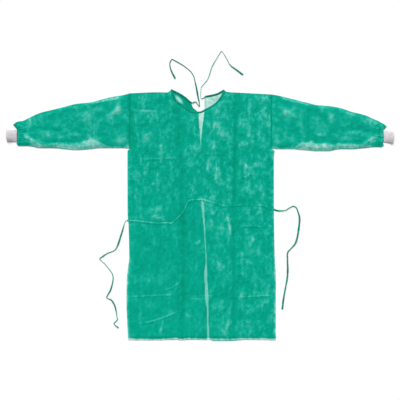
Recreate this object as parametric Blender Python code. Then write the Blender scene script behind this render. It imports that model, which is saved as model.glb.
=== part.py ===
"""Disposable gown, laid flat with its front side up and its back opening on the floor.

Every piece that is cut and sewn is one closed solid: front, two back panels, two sleeves,
two knitted cuffs, the neck binding in three stretches, two neck ties and two waist ties.
The gown's own axes are X to the photo's right, Y towards the neck and Z up from the floor,
from a point on the centre line 575 mm above the hem. An empty carries the whole gown and
stands the middle of its box on the world's origin.
"""

from collections import namedtuple
from math import cos, hypot, pi, sin, sqrt, tan

import bmesh
import bpy
from mathutils import Vector

# Cloth
WALL = 0.0010
SEAM_GAP = 0.0003
LAYER = WALL + SEAM_GAP
FLAT_TUBE = WALL + LAYER

# Where the gown's own zero point stands in the world
GOWN_PLACE = (0.0058, -0.0867, 0.0)

# Body
HEM_Y = -0.575
ARMPIT_Y = 0.301
SIDE_TURN_Y = 0.292
FRONT_LOFT = 0.0014

# Tapes: neck binding, neck ties and waist ties
TAPE_WIDTH = 0.010
TAPE_ROOT = 0.002
RIDGE_HALF = 0.0075
RIDGE_RAMP = 0.008
RIDGE_FOOT_LOFT = 0.8
RIDGE_CREST_LOFT = 0.3
MITRE_LIMIT = 0.5
FOLD_STEPS = 3
FOLD_RUN = 0.008
FOLD_CLEAR = 0.001
BINDING_OVERHANG = 0.001

# Sleeves and cuffs
TUBE_ROUND = 0.0016
CUFF_WALL = 0.0013
CUFF_EDGE_RISE = 0.0008
CUFF_RIB_RISE = 0.0004
CUFF_RIBS = 13

# The sides of the body at each height
Side = namedtuple("Side", "y left right")
SIDES = (
    Side(-0.575, -0.3367, 0.3427),
    Side(-0.390, -0.3436, 0.3425),
    Side(-0.300, -0.3425, 0.3430),
    Side(-0.190, -0.3310, 0.3375),
    Side(-0.050, -0.3340, 0.3345),
    Side(0.010, -0.3385, 0.3340),
    Side(0.260, -0.3390, 0.3335),
    Side(0.292, -0.3390, 0.3370),
    Side(0.301, -0.3300, 0.3257),
    Side(0.570, -0.3300, 0.3257),
)

# The two edges of the back opening at each height
Opening = namedtuple("Opening", "y left right")
OPENING = (
    Opening(-0.590, 0.0262, 0.0404),
    Opening(-0.540, 0.0256, 0.0372),
    Opening(-0.430, 0.0246, 0.0333),
    Opening(-0.390, 0.0170, 0.0336),
    Opening(-0.320, 0.0148, 0.0304),
    Opening(-0.280, 0.0120, 0.0280),
    Opening(-0.210, 0.0190, 0.0262),
    Opening(-0.135, 0.0155, 0.0210),
    Opening(-0.060, 0.0101, 0.0190),
    Opening(-0.007, 0.0046, 0.0156),
    Opening(0.048, -0.0009, 0.0143),
    Opening(0.085, 0.0008, 0.0020),
    Opening(0.305, 0.0000, 0.0012),
    Opening(0.340, -0.0064, 0.0005),
    Opening(0.379, -0.0069, 0.0037),
    Opening(0.416, -0.0120, 0.0074),
    Opening(0.4623, -0.0124, 0.0140),
    Opening(0.4761, -0.0193, 0.0150),
    Opening(0.4899, -0.0363, 0.0150),
    Opening(0.5147, -0.0446, 0.0147),
    Opening(0.5437, -0.0446, 0.0143),
)

# Columns of the body: how far the front lofts there, and where the waist ties run below
Column = namedtuple("Column", "x loft tie_y")
LEFT_COLUMNS = (
    Column(-0.3000, 0.55, -0.0280),
    Column(-0.2500, 1.00, -0.0335),
    Column(-0.2000, 0.75, -0.0396),
    Column(-0.1541, 1.00, -0.0368),
    Column(-0.1366, 0.90, -0.0396),
    Column(-0.1150, 0.95, -0.0180),
    Column(-0.0934, 0.70, 0.0003),
    Column(-0.0814, 0.05, 0.0170),
    Column(-0.0694, 0.75, 0.0420),
    Column(-0.0600, 0.90, 0.0630),
    Column(-0.0470, 0.85, 0.0676),
)
RIGHT_COLUMNS = (
    Column(0.0550, 0.80, 0.0562),
    Column(0.0790, 1.00, 0.0485),
    Column(0.0925, 0.90, 0.0442),
    Column(0.1035, 0.90, 0.0409),
    Column(0.1190, 0.85, 0.0418),
    Column(0.1366, 0.70, 0.0430),
    Column(0.1486, 0.05, 0.0435),
    Column(0.1606, 0.75, 0.0445),
    Column(0.2190, 1.00, 0.0483),
    Column(0.2893, 0.60, 0.0423),
)
LEFT_SIDE = Column(-0.3360, 0.0, -0.0271)
RIGHT_SIDE = Column(0.3360, 0.0, 0.0225)
OPENING_MIDDLE = Column(0.0035, 0.35, 0.0709)
GROOVE_HALF = 0.005
GROOVE_MARGIN = 0.001
GROOVE_SHARE = 0.06
GROOVE_DEEPEST = 0.0009

# Rows of the body below the ties and above them up to the armpit, with the front's loft
Row = namedtuple("Row", "y loft")
SKIRT_ROWS = (
    Row(-0.5650, 0.35),
    Row(-0.4950, 1.00),
    Row(-0.4300, 0.80),
    Row(-0.3830, 0.95),
    Row(-0.3700, 0.10),
    Row(-0.3570, 0.90),
    Row(-0.2800, 1.00),
    Row(-0.2000, 0.80),
    Row(-0.1200, 1.00),
)
CHEST_ROWS = (
    Row(0.1350, 1.00),
    Row(0.1950, 0.80),
    Row(0.2430, 0.95),
    Row(0.2553, 0.20),
    Row(0.2680, 0.90),
    Row(SIDE_TURN_Y, 0.80),
    Row(ARMPIT_Y, 0.80),
)
# Rows above the armpit, as shares of the way up to the shoulder or the neck
YokeRow = namedtuple("YokeRow", "share loft")
YOKE_ROWS = (
    YokeRow(0.22, 1.00),
    YokeRow(0.45, 0.80),
    YokeRow(0.64, 0.60),
    YokeRow(0.78, 0.00),
    YokeRow(0.90, 0.00),
    YokeRow(1.00, 0.00),
)

# Upper edges: shoulder seams with the front's deep neck, or with the back's neck edges
Point = namedtuple("Point", "x y")
SHOULDER_LEFT = (
    Point(-0.3300, 0.5570),
    Point(-0.2000, 0.5620),
    Point(-0.1541, 0.5612),
)
SHOULDER_RIGHT = (
    Point(0.1190, 0.5635),
    Point(0.1690, 0.5603),
    Point(0.3257, 0.5520),
)
NECK_BOTTOM_Y = 0.4729
FRONT_NECK = (
    Point(-0.1366, 0.5759),
    Point(-0.1150, 0.5235),
    Point(-0.0934, 0.5095),
    Point(-0.0814, 0.4985),
    Point(-0.0600, 0.4840),
    Point(-0.0405, 0.4738),
    Point(-0.0069, 0.4729),
    Point(0.0083, 0.4789),
    Point(0.0616, 0.5092),
    Point(0.0925, 0.5474),
    Point(0.1035, 0.5741),
)
BACK_NECK_LEFT = (
    Point(-0.1366, 0.5759),
    Point(-0.0833, 0.5474),
    Point(-0.0446, 0.5147),
)
BACK_NECK_RIGHT = (
    Point(0.1035, 0.5741),
    Point(0.0700, 0.5560),
    Point(0.0143, 0.5437),
)
# How far along a back neck edge its binding starts, at the edge and at its inner side
BACK_BINDING_START = (0.0035, 0.0165)
BACK_BINDING_STOP = 0.0010

# Hems: how far below the hem line each panel reaches
Hem = namedtuple("Hem", "x front back")
HEMS = (
    Hem(-0.340, 0.0000, -0.0015),
    Hem(-0.200, 0.0010, 0.0000),
    Hem(-0.115, -0.0025, -0.0010),
    Hem(-0.093, 0.0015, 0.0000),
    Hem(-0.060, -0.0020, 0.0000),
    Hem(0.015, 0.0000, 0.0010),
    Hem(0.045, 0.0000, 0.0070),
    Hem(0.135, 0.0005, 0.0065),
    Hem(0.220, -0.0010, 0.0000),
    Hem(0.340, 0.0010, -0.0010),
)

# Sleeves: the lower and upper edge of each section and its loft above the flat cloth
Section = namedtuple("Section", "x low high loft")
SLEEVE_LEFT = (
    Section(-0.3303, 0.3030, 0.5565, 0.0003),
    Section(-0.3551, 0.3059, 0.5497, 0.0014),
    Section(-0.3830, 0.3059, 0.5450, 0.0018),
    Section(-0.4103, 0.3059, 0.5405, 0.0014),
    Section(-0.4655, 0.3059, 0.5267, 0.0020),
    Section(-0.4910, 0.3035, 0.5200, 0.0017),
    Section(-0.5035, 0.3020, 0.5165, 0.0003),
    Section(-0.5160, 0.3015, 0.5135, 0.0017),
    Section(-0.5759, 0.2967, 0.5083, 0.0020),
    Section(-0.6311, 0.3013, 0.4945, 0.0014),
    Section(-0.6863, 0.3059, 0.4807, 0.0020),
    Section(-0.7415, 0.3059, 0.4669, 0.0016),
    Section(-0.7800, 0.3130, 0.4500, 0.0022),
    Section(-0.8050, 0.3151, 0.4415, 0.0024),
    Section(-0.8243, 0.3151, 0.4347, 0.0026),
    Section(-0.8380, 0.3151, 0.4300, 0.0024),
)
SLEEVE_RIGHT = (
    Section(0.3260, 0.3030, 0.5515, 0.0003),
    Section(0.3625, 0.3013, 0.5451, 0.0014),
    Section(0.3900, 0.3013, 0.5380, 0.0018),
    Section(0.4177, 0.3013, 0.5313, 0.0014),
    Section(0.4600, 0.2975, 0.5205, 0.0020),
    Section(0.4807, 0.2960, 0.5155, 0.0017),
    Section(0.4931, 0.2950, 0.5125, 0.0003),
    Section(0.5055, 0.2940, 0.5090, 0.0017),
    Section(0.5281, 0.2921, 0.5037, 0.0020),
    Section(0.5833, 0.2921, 0.4991, 0.0014),
    Section(0.6385, 0.3013, 0.4899, 0.0020),
    Section(0.6937, 0.3013, 0.4715, 0.0016),
    Section(0.7489, 0.3059, 0.4577, 0.0022),
    Section(0.8000, 0.3105, 0.4360, 0.0024),
    Section(0.8130, 0.3105, 0.4310, 0.0026),
    Section(0.8240, 0.3100, 0.4240, 0.0024),
)
# Across a sleeve, from its lower fold: where the upper layer's points lie and how they loft
Across = namedtuple("Across", "share loft")
SLEEVE_ACROSS = (
    Across(0.00, 0.00),
    Across(0.06, 0.75),
    Across(0.13, 1.00),
    Across(0.21, 0.55),
    Across(0.29, 0.85),
    Across(0.37, 1.00),
    Across(0.45, 0.70),
    Across(0.53, 0.90),
    Across(0.61, 1.00),
    Across(0.69, 0.75),
    Across(0.77, 0.95),
    Across(0.85, 0.60),
    Across(0.93, 0.70),
    Across(1.00, 0.00),
)
# The gathered sleeve end, ring by ring to the cuff's seam. Across a ring x is given at its
# low fold, near it, in the middle, near the high fold and at it. The inner wall stays back
# by pull and is narrower by narrow.
EndRing = namedtuple(
    "EndRing", "low_x near_low_x middle_x near_high_x high_x low high loft gather pull narrow"
)
END_SHARES = (0.0, 0.06, 0.5, 0.93, 1.0)
END_LEFT = (
    EndRing(-0.8440, -0.8437, -0.8430, -0.8445, -0.8482, 0.3165, 0.4255, 0.0022, 0.0011, 0.0020, 0.0012),
    EndRing(-0.8497, -0.8475, -0.8465, -0.8478, -0.8657, 0.3270, 0.4130, 0.0018, 0.0012, 0.0035, 0.0000),
    EndRing(-0.8500, -0.8500, -0.8500, -0.8500, -0.8500, 0.3345, 0.3880, 0.0012, 0.0010, 0.0035, 0.0010),
    EndRing(-0.8527, -0.8527, -0.8527, -0.8527, -0.8527, 0.3345, 0.3880, 0.0010, 0.0006, 0.0000, 0.0010),
)
END_RIGHT = (
    EndRing(0.8310, 0.8300, 0.8295, 0.8325, 0.8377, 0.3105, 0.4172, 0.0022, 0.0011, 0.0020, 0.0012),
    EndRing(0.8405, 0.8370, 0.8345, 0.8375, 0.8533, 0.3169, 0.4048, 0.0018, 0.0012, 0.0035, 0.0000),
    EndRing(0.8405, 0.8405, 0.8405, 0.8405, 0.8405, 0.3330, 0.3850, 0.0012, 0.0010, 0.0035, 0.0010),
    EndRing(0.8440, 0.8440, 0.8440, 0.8440, 0.8440, 0.3330, 0.3850, 0.0010, 0.0006, 0.0000, 0.0010),
)

# Cuffs: sections from the seam to the free edge, with how far the tube arches up in its
# middle and how far the free edge bulges out there
CuffSection = namedtuple("CuffSection", "x low high arch bulge")
CUFF_LEFT = (
    CuffSection(-0.8530, 0.3345, 0.3880, 0.0010, 0.0),
    CuffSection(-0.8600, 0.3350, 0.3885, 0.0042, 0.0),
    CuffSection(-0.8690, 0.3350, 0.3890, 0.0070, -0.001),
    CuffSection(-0.8820, 0.3348, 0.3897, 0.0086, -0.003),
    CuffSection(-0.8955, 0.3345, 0.3900, 0.0092, -0.007),
)
CUFF_RIGHT = (
    CuffSection(0.8443, 0.3330, 0.3850, 0.0010, 0.0),
    CuffSection(0.8510, 0.3320, 0.3850, 0.0042, 0.0),
    CuffSection(0.8600, 0.3305, 0.3850, 0.0070, 0.001),
    CuffSection(0.8730, 0.3280, 0.3848, 0.0086, 0.002),
    CuffSection(0.8860, 0.3250, 0.3842, 0.0092, 0.005),
)

# Ties: the tape's middle line. Where it folds over it is marked, and a start on top of
# the back panel is one layer up.
Tie = namedtuple("Tie", "x y fold")
WAIST_TIE_LEFT = (
    Tie(-0.3475, -0.0285, False),
    Tie(-0.3560, -0.0500, False),
    Tie(-0.3700, -0.0960, False),
    Tie(-0.3827, -0.1343, False),
    Tie(-0.3951, -0.1605, False),
    Tie(-0.4110, -0.1705, False),
    Tie(-0.4324, -0.1785, False),
    Tie(-0.4692, -0.2029, True),
    Tie(-0.4430, -0.2277, False),
    Tie(-0.4210, -0.2540, False),
    Tie(-0.4060, -0.2801, False),
    Tie(-0.4062, -0.3087, False),
    Tie(-0.4163, -0.3473, False),
    Tie(-0.4375, -0.3823, True),
    Tie(-0.4131, -0.3947, False),
    Tie(-0.3985, -0.4190, False),
    Tie(-0.3915, -0.4480, False),
    Tie(-0.3915, -0.4660, False),
    Tie(-0.3830, -0.4830, True),
    Tie(-0.4039, -0.5019, True),
    Tie(-0.3813, -0.5216, False),
)
WAIST_TIE_RIGHT = (
    Tie(0.3475, 0.0180, False),
    Tie(0.3662, 0.0166, False),
    Tie(0.3887, 0.0198, False),
    Tie(0.4048, 0.0300, False),
    Tie(0.4223, 0.0376, False),
    Tie(0.4365, 0.0310, False),
    Tie(0.4450, 0.0100, False),
    Tie(0.4515, -0.0152, False),
    Tie(0.4490, -0.0560, False),
    Tie(0.4408, -0.1050, False),
    Tie(0.4310, -0.1340, False),
    Tie(0.4120, -0.1560, False),
    Tie(0.3965, -0.1760, False),
    Tie(0.3960, -0.2140, False),
    Tie(0.3975, -0.2521, False),
    Tie(0.3950, -0.2900, False),
    Tie(0.3887, -0.3257, False),
    Tie(0.3790, -0.3800, False),
    Tie(0.3726, -0.4356, False),
)
NECK_TIE_LEFT = (
    Tie(-0.0437, 0.5139, False),
    Tie(-0.0244, 0.5190, False),
    Tie(-0.0083, 0.4968, True),
    Tie(-0.0147, 0.5437, False),
    Tie(-0.0210, 0.5800, False),
    Tie(-0.0281, 0.6123, False),
    Tie(-0.0345, 0.6353, False),
    Tie(-0.0488, 0.6578, False),
    Tie(-0.0754, 0.6808, False),
    Tie(-0.1021, 0.6978, False),
    Tie(-0.1345, 0.7155, True),
    Tie(-0.1440, 0.6900, False),
    Tie(-0.1375, 0.6620, False),
    Tie(-0.1196, 0.6256, False),
)
NECK_TIE_RIGHT = (
    Tie(0.0130, 0.5383, False),
    Tie(0.0010, 0.5330, True),
    Tie(-0.0025, 0.5600, False),
    Tie(0.0000, 0.5856, False),
    Tie(0.0130, 0.6030, False),
    Tie(0.0276, 0.6196, False),
    Tie(0.0391, 0.6468, False),
    Tie(0.0501, 0.6808, False),
    Tie(0.0731, 0.7227, False),
    Tie(0.0938, 0.7544, True),
    Tie(0.1075, 0.7335, False),
    Tie(0.1190, 0.7120, False),
    Tie(0.1330, 0.6870, False),
    Tie(0.1573, 0.6675, False),
    Tie(0.1914, 0.6426, False),
)

# Colours, linear
CLOTH_GREEN = (0.010, 0.375, 0.265)
TAPE_GREEN = (0.030, 0.290, 0.205)
KNIT_WHITE = (0.80, 0.79, 0.80)


def blend(value, stations, outputs):
    """The output at a value between two stations, on a straight line."""
    if value <= stations[0]:
        return outputs[0]
    for k in range(1, len(stations)):
        if value <= stations[k]:
            share = (value - stations[k - 1]) / (stations[k] - stations[k - 1])
            return outputs[k - 1] + share * (outputs[k] - outputs[k - 1])
    return outputs[-1]


def along(table, field, value, output):
    """Reads one column of a table at a value of another, on straight lines."""
    stations = [getattr(row, field) for row in table]
    return blend(value, stations, [getattr(row, output) for row in table])


TIE_COLUMNS = (LEFT_SIDE,) + LEFT_COLUMNS + (OPENING_MIDDLE,) + RIGHT_COLUMNS + (RIGHT_SIDE,)


def ridge_reach(width):
    """How far up and down a ridge of half this width reaches at each tie column."""
    steep = [
        sqrt(1 + ((b.tie_y - a.tie_y) / (b.x - a.x)) ** 2)
        for a, b in zip(TIE_COLUMNS, TIE_COLUMNS[1:])
    ]
    ends = [steep[0]] + [max(a, b) for a, b in zip(steep, steep[1:])] + [steep[-1]]
    return [width * s for s in ends]


CREST_REACH = ridge_reach(RIDGE_HALF)
FOOT_REACH = ridge_reach(RIDGE_HALF + RIDGE_RAMP)


def ridge_rows(x):
    """Heights on the body of the ridge's foot, crest, crest and foot, from below."""
    stations = [c.x for c in TIE_COLUMNS]
    middle = blend(x, stations, [c.tie_y for c in TIE_COLUMNS])
    crest = blend(x, stations, CREST_REACH)
    foot = blend(x, stations, FOOT_REACH)
    return middle - foot, middle - crest, middle + crest, middle + foot


def upper_edge(neck):
    """Line of a panel's upper edge: shoulder, neck and shoulder, as its side needs."""
    line = list(neck)
    if FRONT_NECK[0] in line:
        line += SHOULDER_LEFT
    if FRONT_NECK[-1] in line:
        line += SHOULDER_RIGHT
    return sorted(line, key=lambda p: p.x)


def body_levels(x, top_y, hem_drop):
    """Heights, ridge lifts and lofts of every row of a body panel at one column."""
    foot_low, crest_low, crest_high, foot_high = ridge_rows(x)
    levels = [(HEM_Y - hem_drop, 0.0, 0.0)]
    levels += [(row.y, 0.0, row.loft) for row in SKIRT_ROWS]
    levels += [(foot_low, 0.0, RIDGE_FOOT_LOFT), (crest_low, LAYER, RIDGE_CREST_LOFT)]
    levels += [(crest_high, LAYER, RIDGE_CREST_LOFT), (foot_high, 0.0, RIDGE_FOOT_LOFT)]
    levels += [(row.y, 0.0, row.loft) for row in CHEST_ROWS]
    rise = top_y - ARMPIT_Y
    levels += [(ARMPIT_Y + row.share * rise, 0.0, row.loft) for row in YOKE_ROWS]
    return levels


def piece(name, colour, roughness):
    """A new object with its own mesh and material, carried by the gown's empty."""
    material = bpy.data.materials.new(name)
    material.use_nodes = True
    shader = material.node_tree.nodes["Principled BSDF"]
    shader.inputs["Base Color"].default_value = (*colour, 1.0)
    shader.inputs["Roughness"].default_value = roughness
    shader.inputs["Metallic"].default_value = 0.0
    mesh = bpy.data.meshes.new(name)
    mesh.materials.append(material)
    made = bpy.data.objects.new(name, mesh)
    bpy.context.collection.objects.link(made)
    made.parent = bpy.data.objects["gown_place"]
    return made


def fill(made, bm):
    """Writes a finished bmesh into an object, with its faces pointing out."""
    bmesh.ops.recalc_face_normals(bm, faces=bm.faces[:])
    bm.to_mesh(made.data)
    bm.free()


def lay_grid(bm, rows):
    """Joins rows of points by triangles that all split the same way."""
    grid = [[bm.verts.new(point) for point in row] for row in rows]
    for low, high in zip(grid, grid[1:]):
        for k in range(len(low) - 1):
            bm.faces.new((low[k], low[k + 1], high[k + 1]))
            bm.faces.new((low[k], high[k + 1], high[k]))


def cloth_sheet(name, rows, colour=CLOTH_GREEN, thickness=WALL):
    """A panel: its underside's rows of points, extruded straight up by its thickness."""
    bm = bmesh.new()
    lay_grid(bm, rows)
    made = bmesh.ops.extrude_face_region(bm, geom=bm.faces[:])
    top = [v for v in made["geom"] if isinstance(v, bmesh.types.BMVert)]
    bmesh.ops.translate(bm, verts=top, vec=Vector((0.0, 0.0, thickness)))
    fill(piece(name, colour, 0.85), bm)


def groove_at(y, groove):
    """Place and depth of the front's groove over the back opening, at one height.

    groove is -1 for its left shoulder, 0 for its bottom and 1 for its right shoulder.
    """
    gap_left = along(OPENING, "y", y, "left")
    gap_right = along(OPENING, "y", y, "right")
    gap = gap_right - gap_left
    half = max(gap / 2 + GROOVE_MARGIN, GROOVE_HALF)
    depth = min(GROOVE_DEEPEST, GROOVE_SHARE * gap) if groove == 0 else 0.0
    return (gap_left + gap_right) / 2 + groove * half, depth


def build_front():
    """The front panel, on the back panels, with a shallow groove over their opening."""
    left = [LEFT_SIDE] + list(LEFT_COLUMNS)
    right = list(RIGHT_COLUMNS) + [RIGHT_SIDE]
    top_line = upper_edge(FRONT_NECK)
    columns = []
    for column in left + [OPENING_MIDDLE] * 3 + right:
        groove = len(columns) - len(left) - 1
        top_x = column.x
        if column is OPENING_MIDDLE:
            top_x = groove_at(NECK_BOTTOM_Y, groove)[0]
        top_y = along(top_line, "x", top_x, "y")
        points = []
        for y, lift, loft in body_levels(column.x, top_y, along(HEMS, "x", column.x, "front")):
            x, dip = column.x, 0.0
            if column is LEFT_SIDE:
                x = along(SIDES, "y", y, "left")
            elif column is RIGHT_SIDE:
                x = along(SIDES, "y", y, "right")
            elif column is OPENING_MIDDLE:
                x, dip = groove_at(y, groove)
            z = lift + LAYER + FRONT_LOFT * loft * column.loft - dip
            points.append((x, y, z))
        columns.append(points)
    cloth_sheet("front", list(zip(*columns)))


def build_back(name, neck, columns, side, edge):
    """A back panel, flat on the floor but for the ridge over its waist tie."""
    top_line = upper_edge(neck)
    opening = Column(along(OPENING, "y", OPENING_MIDDLE.tie_y, edge), 0.0, 0.0)
    ordered = [side] + list(columns) + [opening]
    if edge == "right":
        ordered = [opening] + list(columns) + [side]
    grid = []
    for column in ordered:
        x = column.x
        top_x = neck[-1].x if column is opening else x
        top_y = along(top_line, "x", top_x, "y")
        points = []
        for y, lift, _ in body_levels(x, top_y, along(HEMS, "x", x, "back")):
            if column is side:
                x = along(SIDES, "y", y, edge)
            if column is opening:
                x = along(OPENING, "y", y, edge)
            points.append((x, y, lift))
        grid.append(points)
    cloth_sheet(name, list(zip(*grid)))


def ring_solid(name, outer, inner, colour):
    """A flattened tube: outer and inner rings of points, joined at both open ends."""
    bm = bmesh.new()
    walls = []
    for rings in (outer, inner):
        grid = [[bm.verts.new(point) for point in ring] for ring in rings]
        walls.append(grid)
        for low, high in zip(grid, grid[1:]):
            for k in range(len(low)):
                n = (k + 1) % len(low)
                bm.faces.new((low[k], low[n], high[n]))
                bm.faces.new((low[k], high[n], high[k]))
    for end in (0, -1):
        for k in range(len(outer[0])):
            n = (k + 1) % len(outer[0])
            bm.faces.new((walls[0][end][k], walls[0][end][n], walls[1][end][n], walls[1][end][k]))
    fill(piece(name, colour, 0.85), bm)


FLOOR_SHARES = (0.0, 0.06, 0.35, 0.65, 0.93, 1.0)


def tube_ring(place_x, low, high, loft, across, inset=0.0, waves=0.0, narrow=None):
    """One ring of a flattened tube: its flat underside, a fold, its top and a fold.

    inset moves a ring inwards for the inner wall, narrow does so at the two folds.
    """
    narrow = inset if narrow is None else narrow

    def point(share, z):
        y = low + TUBE_ROUND + share * (high - low - 2 * TUBE_ROUND)
        return place_x((y - low) / (high - low)), y, z

    ring = [point(share, inset) for share in FLOOR_SHARES]
    ring.append((place_x(1.0), high - narrow, FLAT_TUBE / 2))
    for k, row in reversed(list(enumerate(across))):
        inside = 0 < k < len(across) - 1
        wave = waves * (k % 2) if inside else 0.0
        ring.append(point(row.share, FLAT_TUBE + loft * row.loft + wave - inset))
    ring.append((place_x(0.0), low + narrow, FLAT_TUBE / 2))
    return ring


def end_ring(ring, inset):
    """One ring of the gathered sleeve end, for its outer or its inner wall."""
    side = 1 if ring.middle_x > 0 else -1
    stations = (ring.low_x, ring.near_low_x, ring.middle_x, ring.near_high_x, ring.high_x)
    back = side * ring.pull if inset else 0.0

    def place_x(share):
        return blend(share, END_SHARES, stations) - back

    narrow = ring.narrow if inset else 0.0
    return tube_ring(
        place_x, ring.low, ring.high, ring.loft, SLEEVE_ACROSS, inset, ring.gather, narrow
    )


def build_sleeve(name, sections, end_rings):
    """A sleeve from the armhole seam to its gathered end at the cuff."""
    walls = []
    for inset in (0.0, WALL):
        rings = []
        for section in sections:
            def place_x(_, section=section):
                return section.x

            rings.append(
                tube_ring(place_x, section.low, section.high, section.loft, SLEEVE_ACROSS, inset)
            )
        walls.append(rings + [end_ring(ring, inset) for ring in end_rings])
    ring_solid(name, walls[0], walls[1], CLOTH_GREEN)


def arch_at(share):
    """A smooth arch: 0 at both ends of its span and 1 in the middle."""
    return 4 * share * (1 - share)


def build_cuff(name, sections):
    """A knitted cuff: an arched tube with ribs raised along its top, plain inside."""
    steps = 2 * CUFF_RIBS
    outer, inner = [], []
    for section in sections:
        def place_x(s, section=section):
            return section.x + section.bulge * arch_at(s)

        arch = [
            Across(k / steps, CUFF_EDGE_RISE + section.arch * arch_at(k / steps))
            for k in range(steps + 1)
        ]
        ring = (place_x, section.low, section.high, 1.0, arch)
        outer.append(tube_ring(*ring, 0.0, CUFF_RIB_RISE))
        inner.append(tube_ring(*ring, CUFF_WALL, 0.0))
    ring_solid(name, outer, inner, KNIT_WHITE)


def unit(dx, dy):
    """A direction of length one."""
    length = hypot(dx, dy)
    return dx / length, dy / length


def tape_sections(path, start_level):
    """Sections of a folded tape: middle, half width across it and half thickness up.

    Where the tape folds over, it turns about the fold line and goes on one layer
    higher and the other way up, then comes down to the floor.
    """
    sections = []
    flip = 1
    height = WALL / 2 + start_level * LAYER
    for k, point in enumerate(path):
        middle = Vector((point.x, point.y, 0.0))
        before = unit(point.x - path[k - 1].x, point.y - path[k - 1].y) if k else None
        after = None
        if k < len(path) - 1:
            after = unit(path[k + 1].x - point.x, path[k + 1].y - point.y)
        before = before or after
        after = after or before
        mid = Vector((before[0] + after[0], before[1] + after[1], 0.0)).normalized()
        ahead = Vector((*before, 0.0))
        onward = Vector((*after, 0.0))
        side = Vector((-before[1], before[0], 0.0)) * flip
        if not point.fold:
            if k:
                height = WALL / 2
            across = Vector((-mid.y, mid.x, 0.0)) * flip
            across *= TAPE_WIDTH / 2 / max(across.dot(side), MITRE_LIMIT)
            sections.append((middle + Vector((0, 0, height)), across, flip * WALL / 2))
            continue
        line = mid if mid.dot(side) > 0 else -mid
        across = line * (TAPE_WIDTH / 2 / line.dot(side))
        outward = (ahead - line * ahead.dot(line)).normalized()
        radius = LAYER / 2
        for step in range(FOLD_STEPS + 1):
            turn = pi * step / FOLD_STEPS
            centre = middle + outward * (radius * sin(turn))
            centre.z = height + radius * (1 - cos(turn))
            normal = (Vector((0, 0, cos(turn))) - outward * sin(turn)) * flip
            sections.append((centre, across, normal * (WALL / 2)))
        flip = -flip
        half_turn = tan(ahead.angle(onward) / 2)
        clear = TAPE_WIDTH / 2 * max(half_turn, 1 / half_turn) + FOLD_CLEAR
        side = Vector((-onward.y, onward.x, 0.0)) * flip
        flat = side * (TAPE_WIDTH / 2)
        raised = Vector((0, 0, height + LAYER))
        height = WALL / 2
        level = Vector((0, 0, height))
        sections.append((middle + onward * clear + raised, flat, flip * WALL / 2))
        sections.append((middle + onward * (clear + FOLD_RUN) + level, flat, flip * WALL / 2))
    return sections


def build_tape(name, path, start_level=0):
    """A flat tape swept along its sections, closed at both cut ends."""
    bm = bmesh.new()
    rings = []
    for middle, across, up in tape_sections(path, start_level):
        rise = up if isinstance(up, Vector) else Vector((0, 0, up))
        corners = (-across - rise, across - rise, across + rise, rise - across)
        rings.append([bm.verts.new(middle + corner) for corner in corners])
    for low, high in zip(rings, rings[1:]):
        for k in range(4):
            n = (k + 1) % 4
            bm.faces.new((low[k], low[n], high[n]))
            bm.faces.new((low[k], high[n], high[k]))
    bm.faces.new(rings[0])
    bm.faces.new(rings[-1])
    fill(piece(name, TAPE_GREEN, 0.8), bm)


def under_body(columns, edge_x):
    """A waist tie's points below a back panel, from the opening's edge to the side."""
    path = [Tie(edge_x, blend(edge_x, *tie_line()), False)]
    path += [Tie(c.x, c.tie_y, False) for c in columns]
    return tuple(path)


def tie_line():
    """The waist ties' line below the body, as two lists."""
    return [c.x for c in TIE_COLUMNS], [c.tie_y for c in TIE_COLUMNS]


def neck_strip(edge, start, stop):
    """Edge points and inner points of a binding along a neck edge.

    start and stop are how far along the edge its outer and its inner corner lie.
    """
    sides = []
    turn = 1 if edge[0].x > edge[-1].x else -1
    for inward in (-BINDING_OVERHANG, TAPE_WIDTH - BINDING_OVERHANG):
        row = []
        for k, point in enumerate(edge):
            before = unit(point.x - edge[k - 1].x, point.y - edge[k - 1].y) if k else None
            after = None
            if k < len(edge) - 1:
                after = unit(edge[k + 1].x - point.x, edge[k + 1].y - point.y)
            before = before or after
            after = after or before
            mid = unit(before[0] + after[0], before[1] + after[1])
            bend = mid[0] * before[0] + mid[1] * before[1]
            shift = turn * inward / bend
            row.append(Vector((point.x - mid[1] * shift, point.y + mid[0] * shift, 0.0)))
        sides.append(row)
    for row, first, last in zip(sides, start, stop):
        row[0] = row[0] + (row[1] - row[0]).normalized() * first
        row[-1] = row[-1] + (row[-2] - row[-1]).normalized() * last
    return sides


def build_binding(name, edge, floor_z, start, stop):
    """A flat stretch of the neck binding, one gap above the panel that it is sewn to."""
    sides = neck_strip(edge, start, stop)
    rows = [[(p.x, p.y, floor_z) for p in side] for side in sides]
    cloth_sheet(name, rows, TAPE_GREEN)


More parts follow.
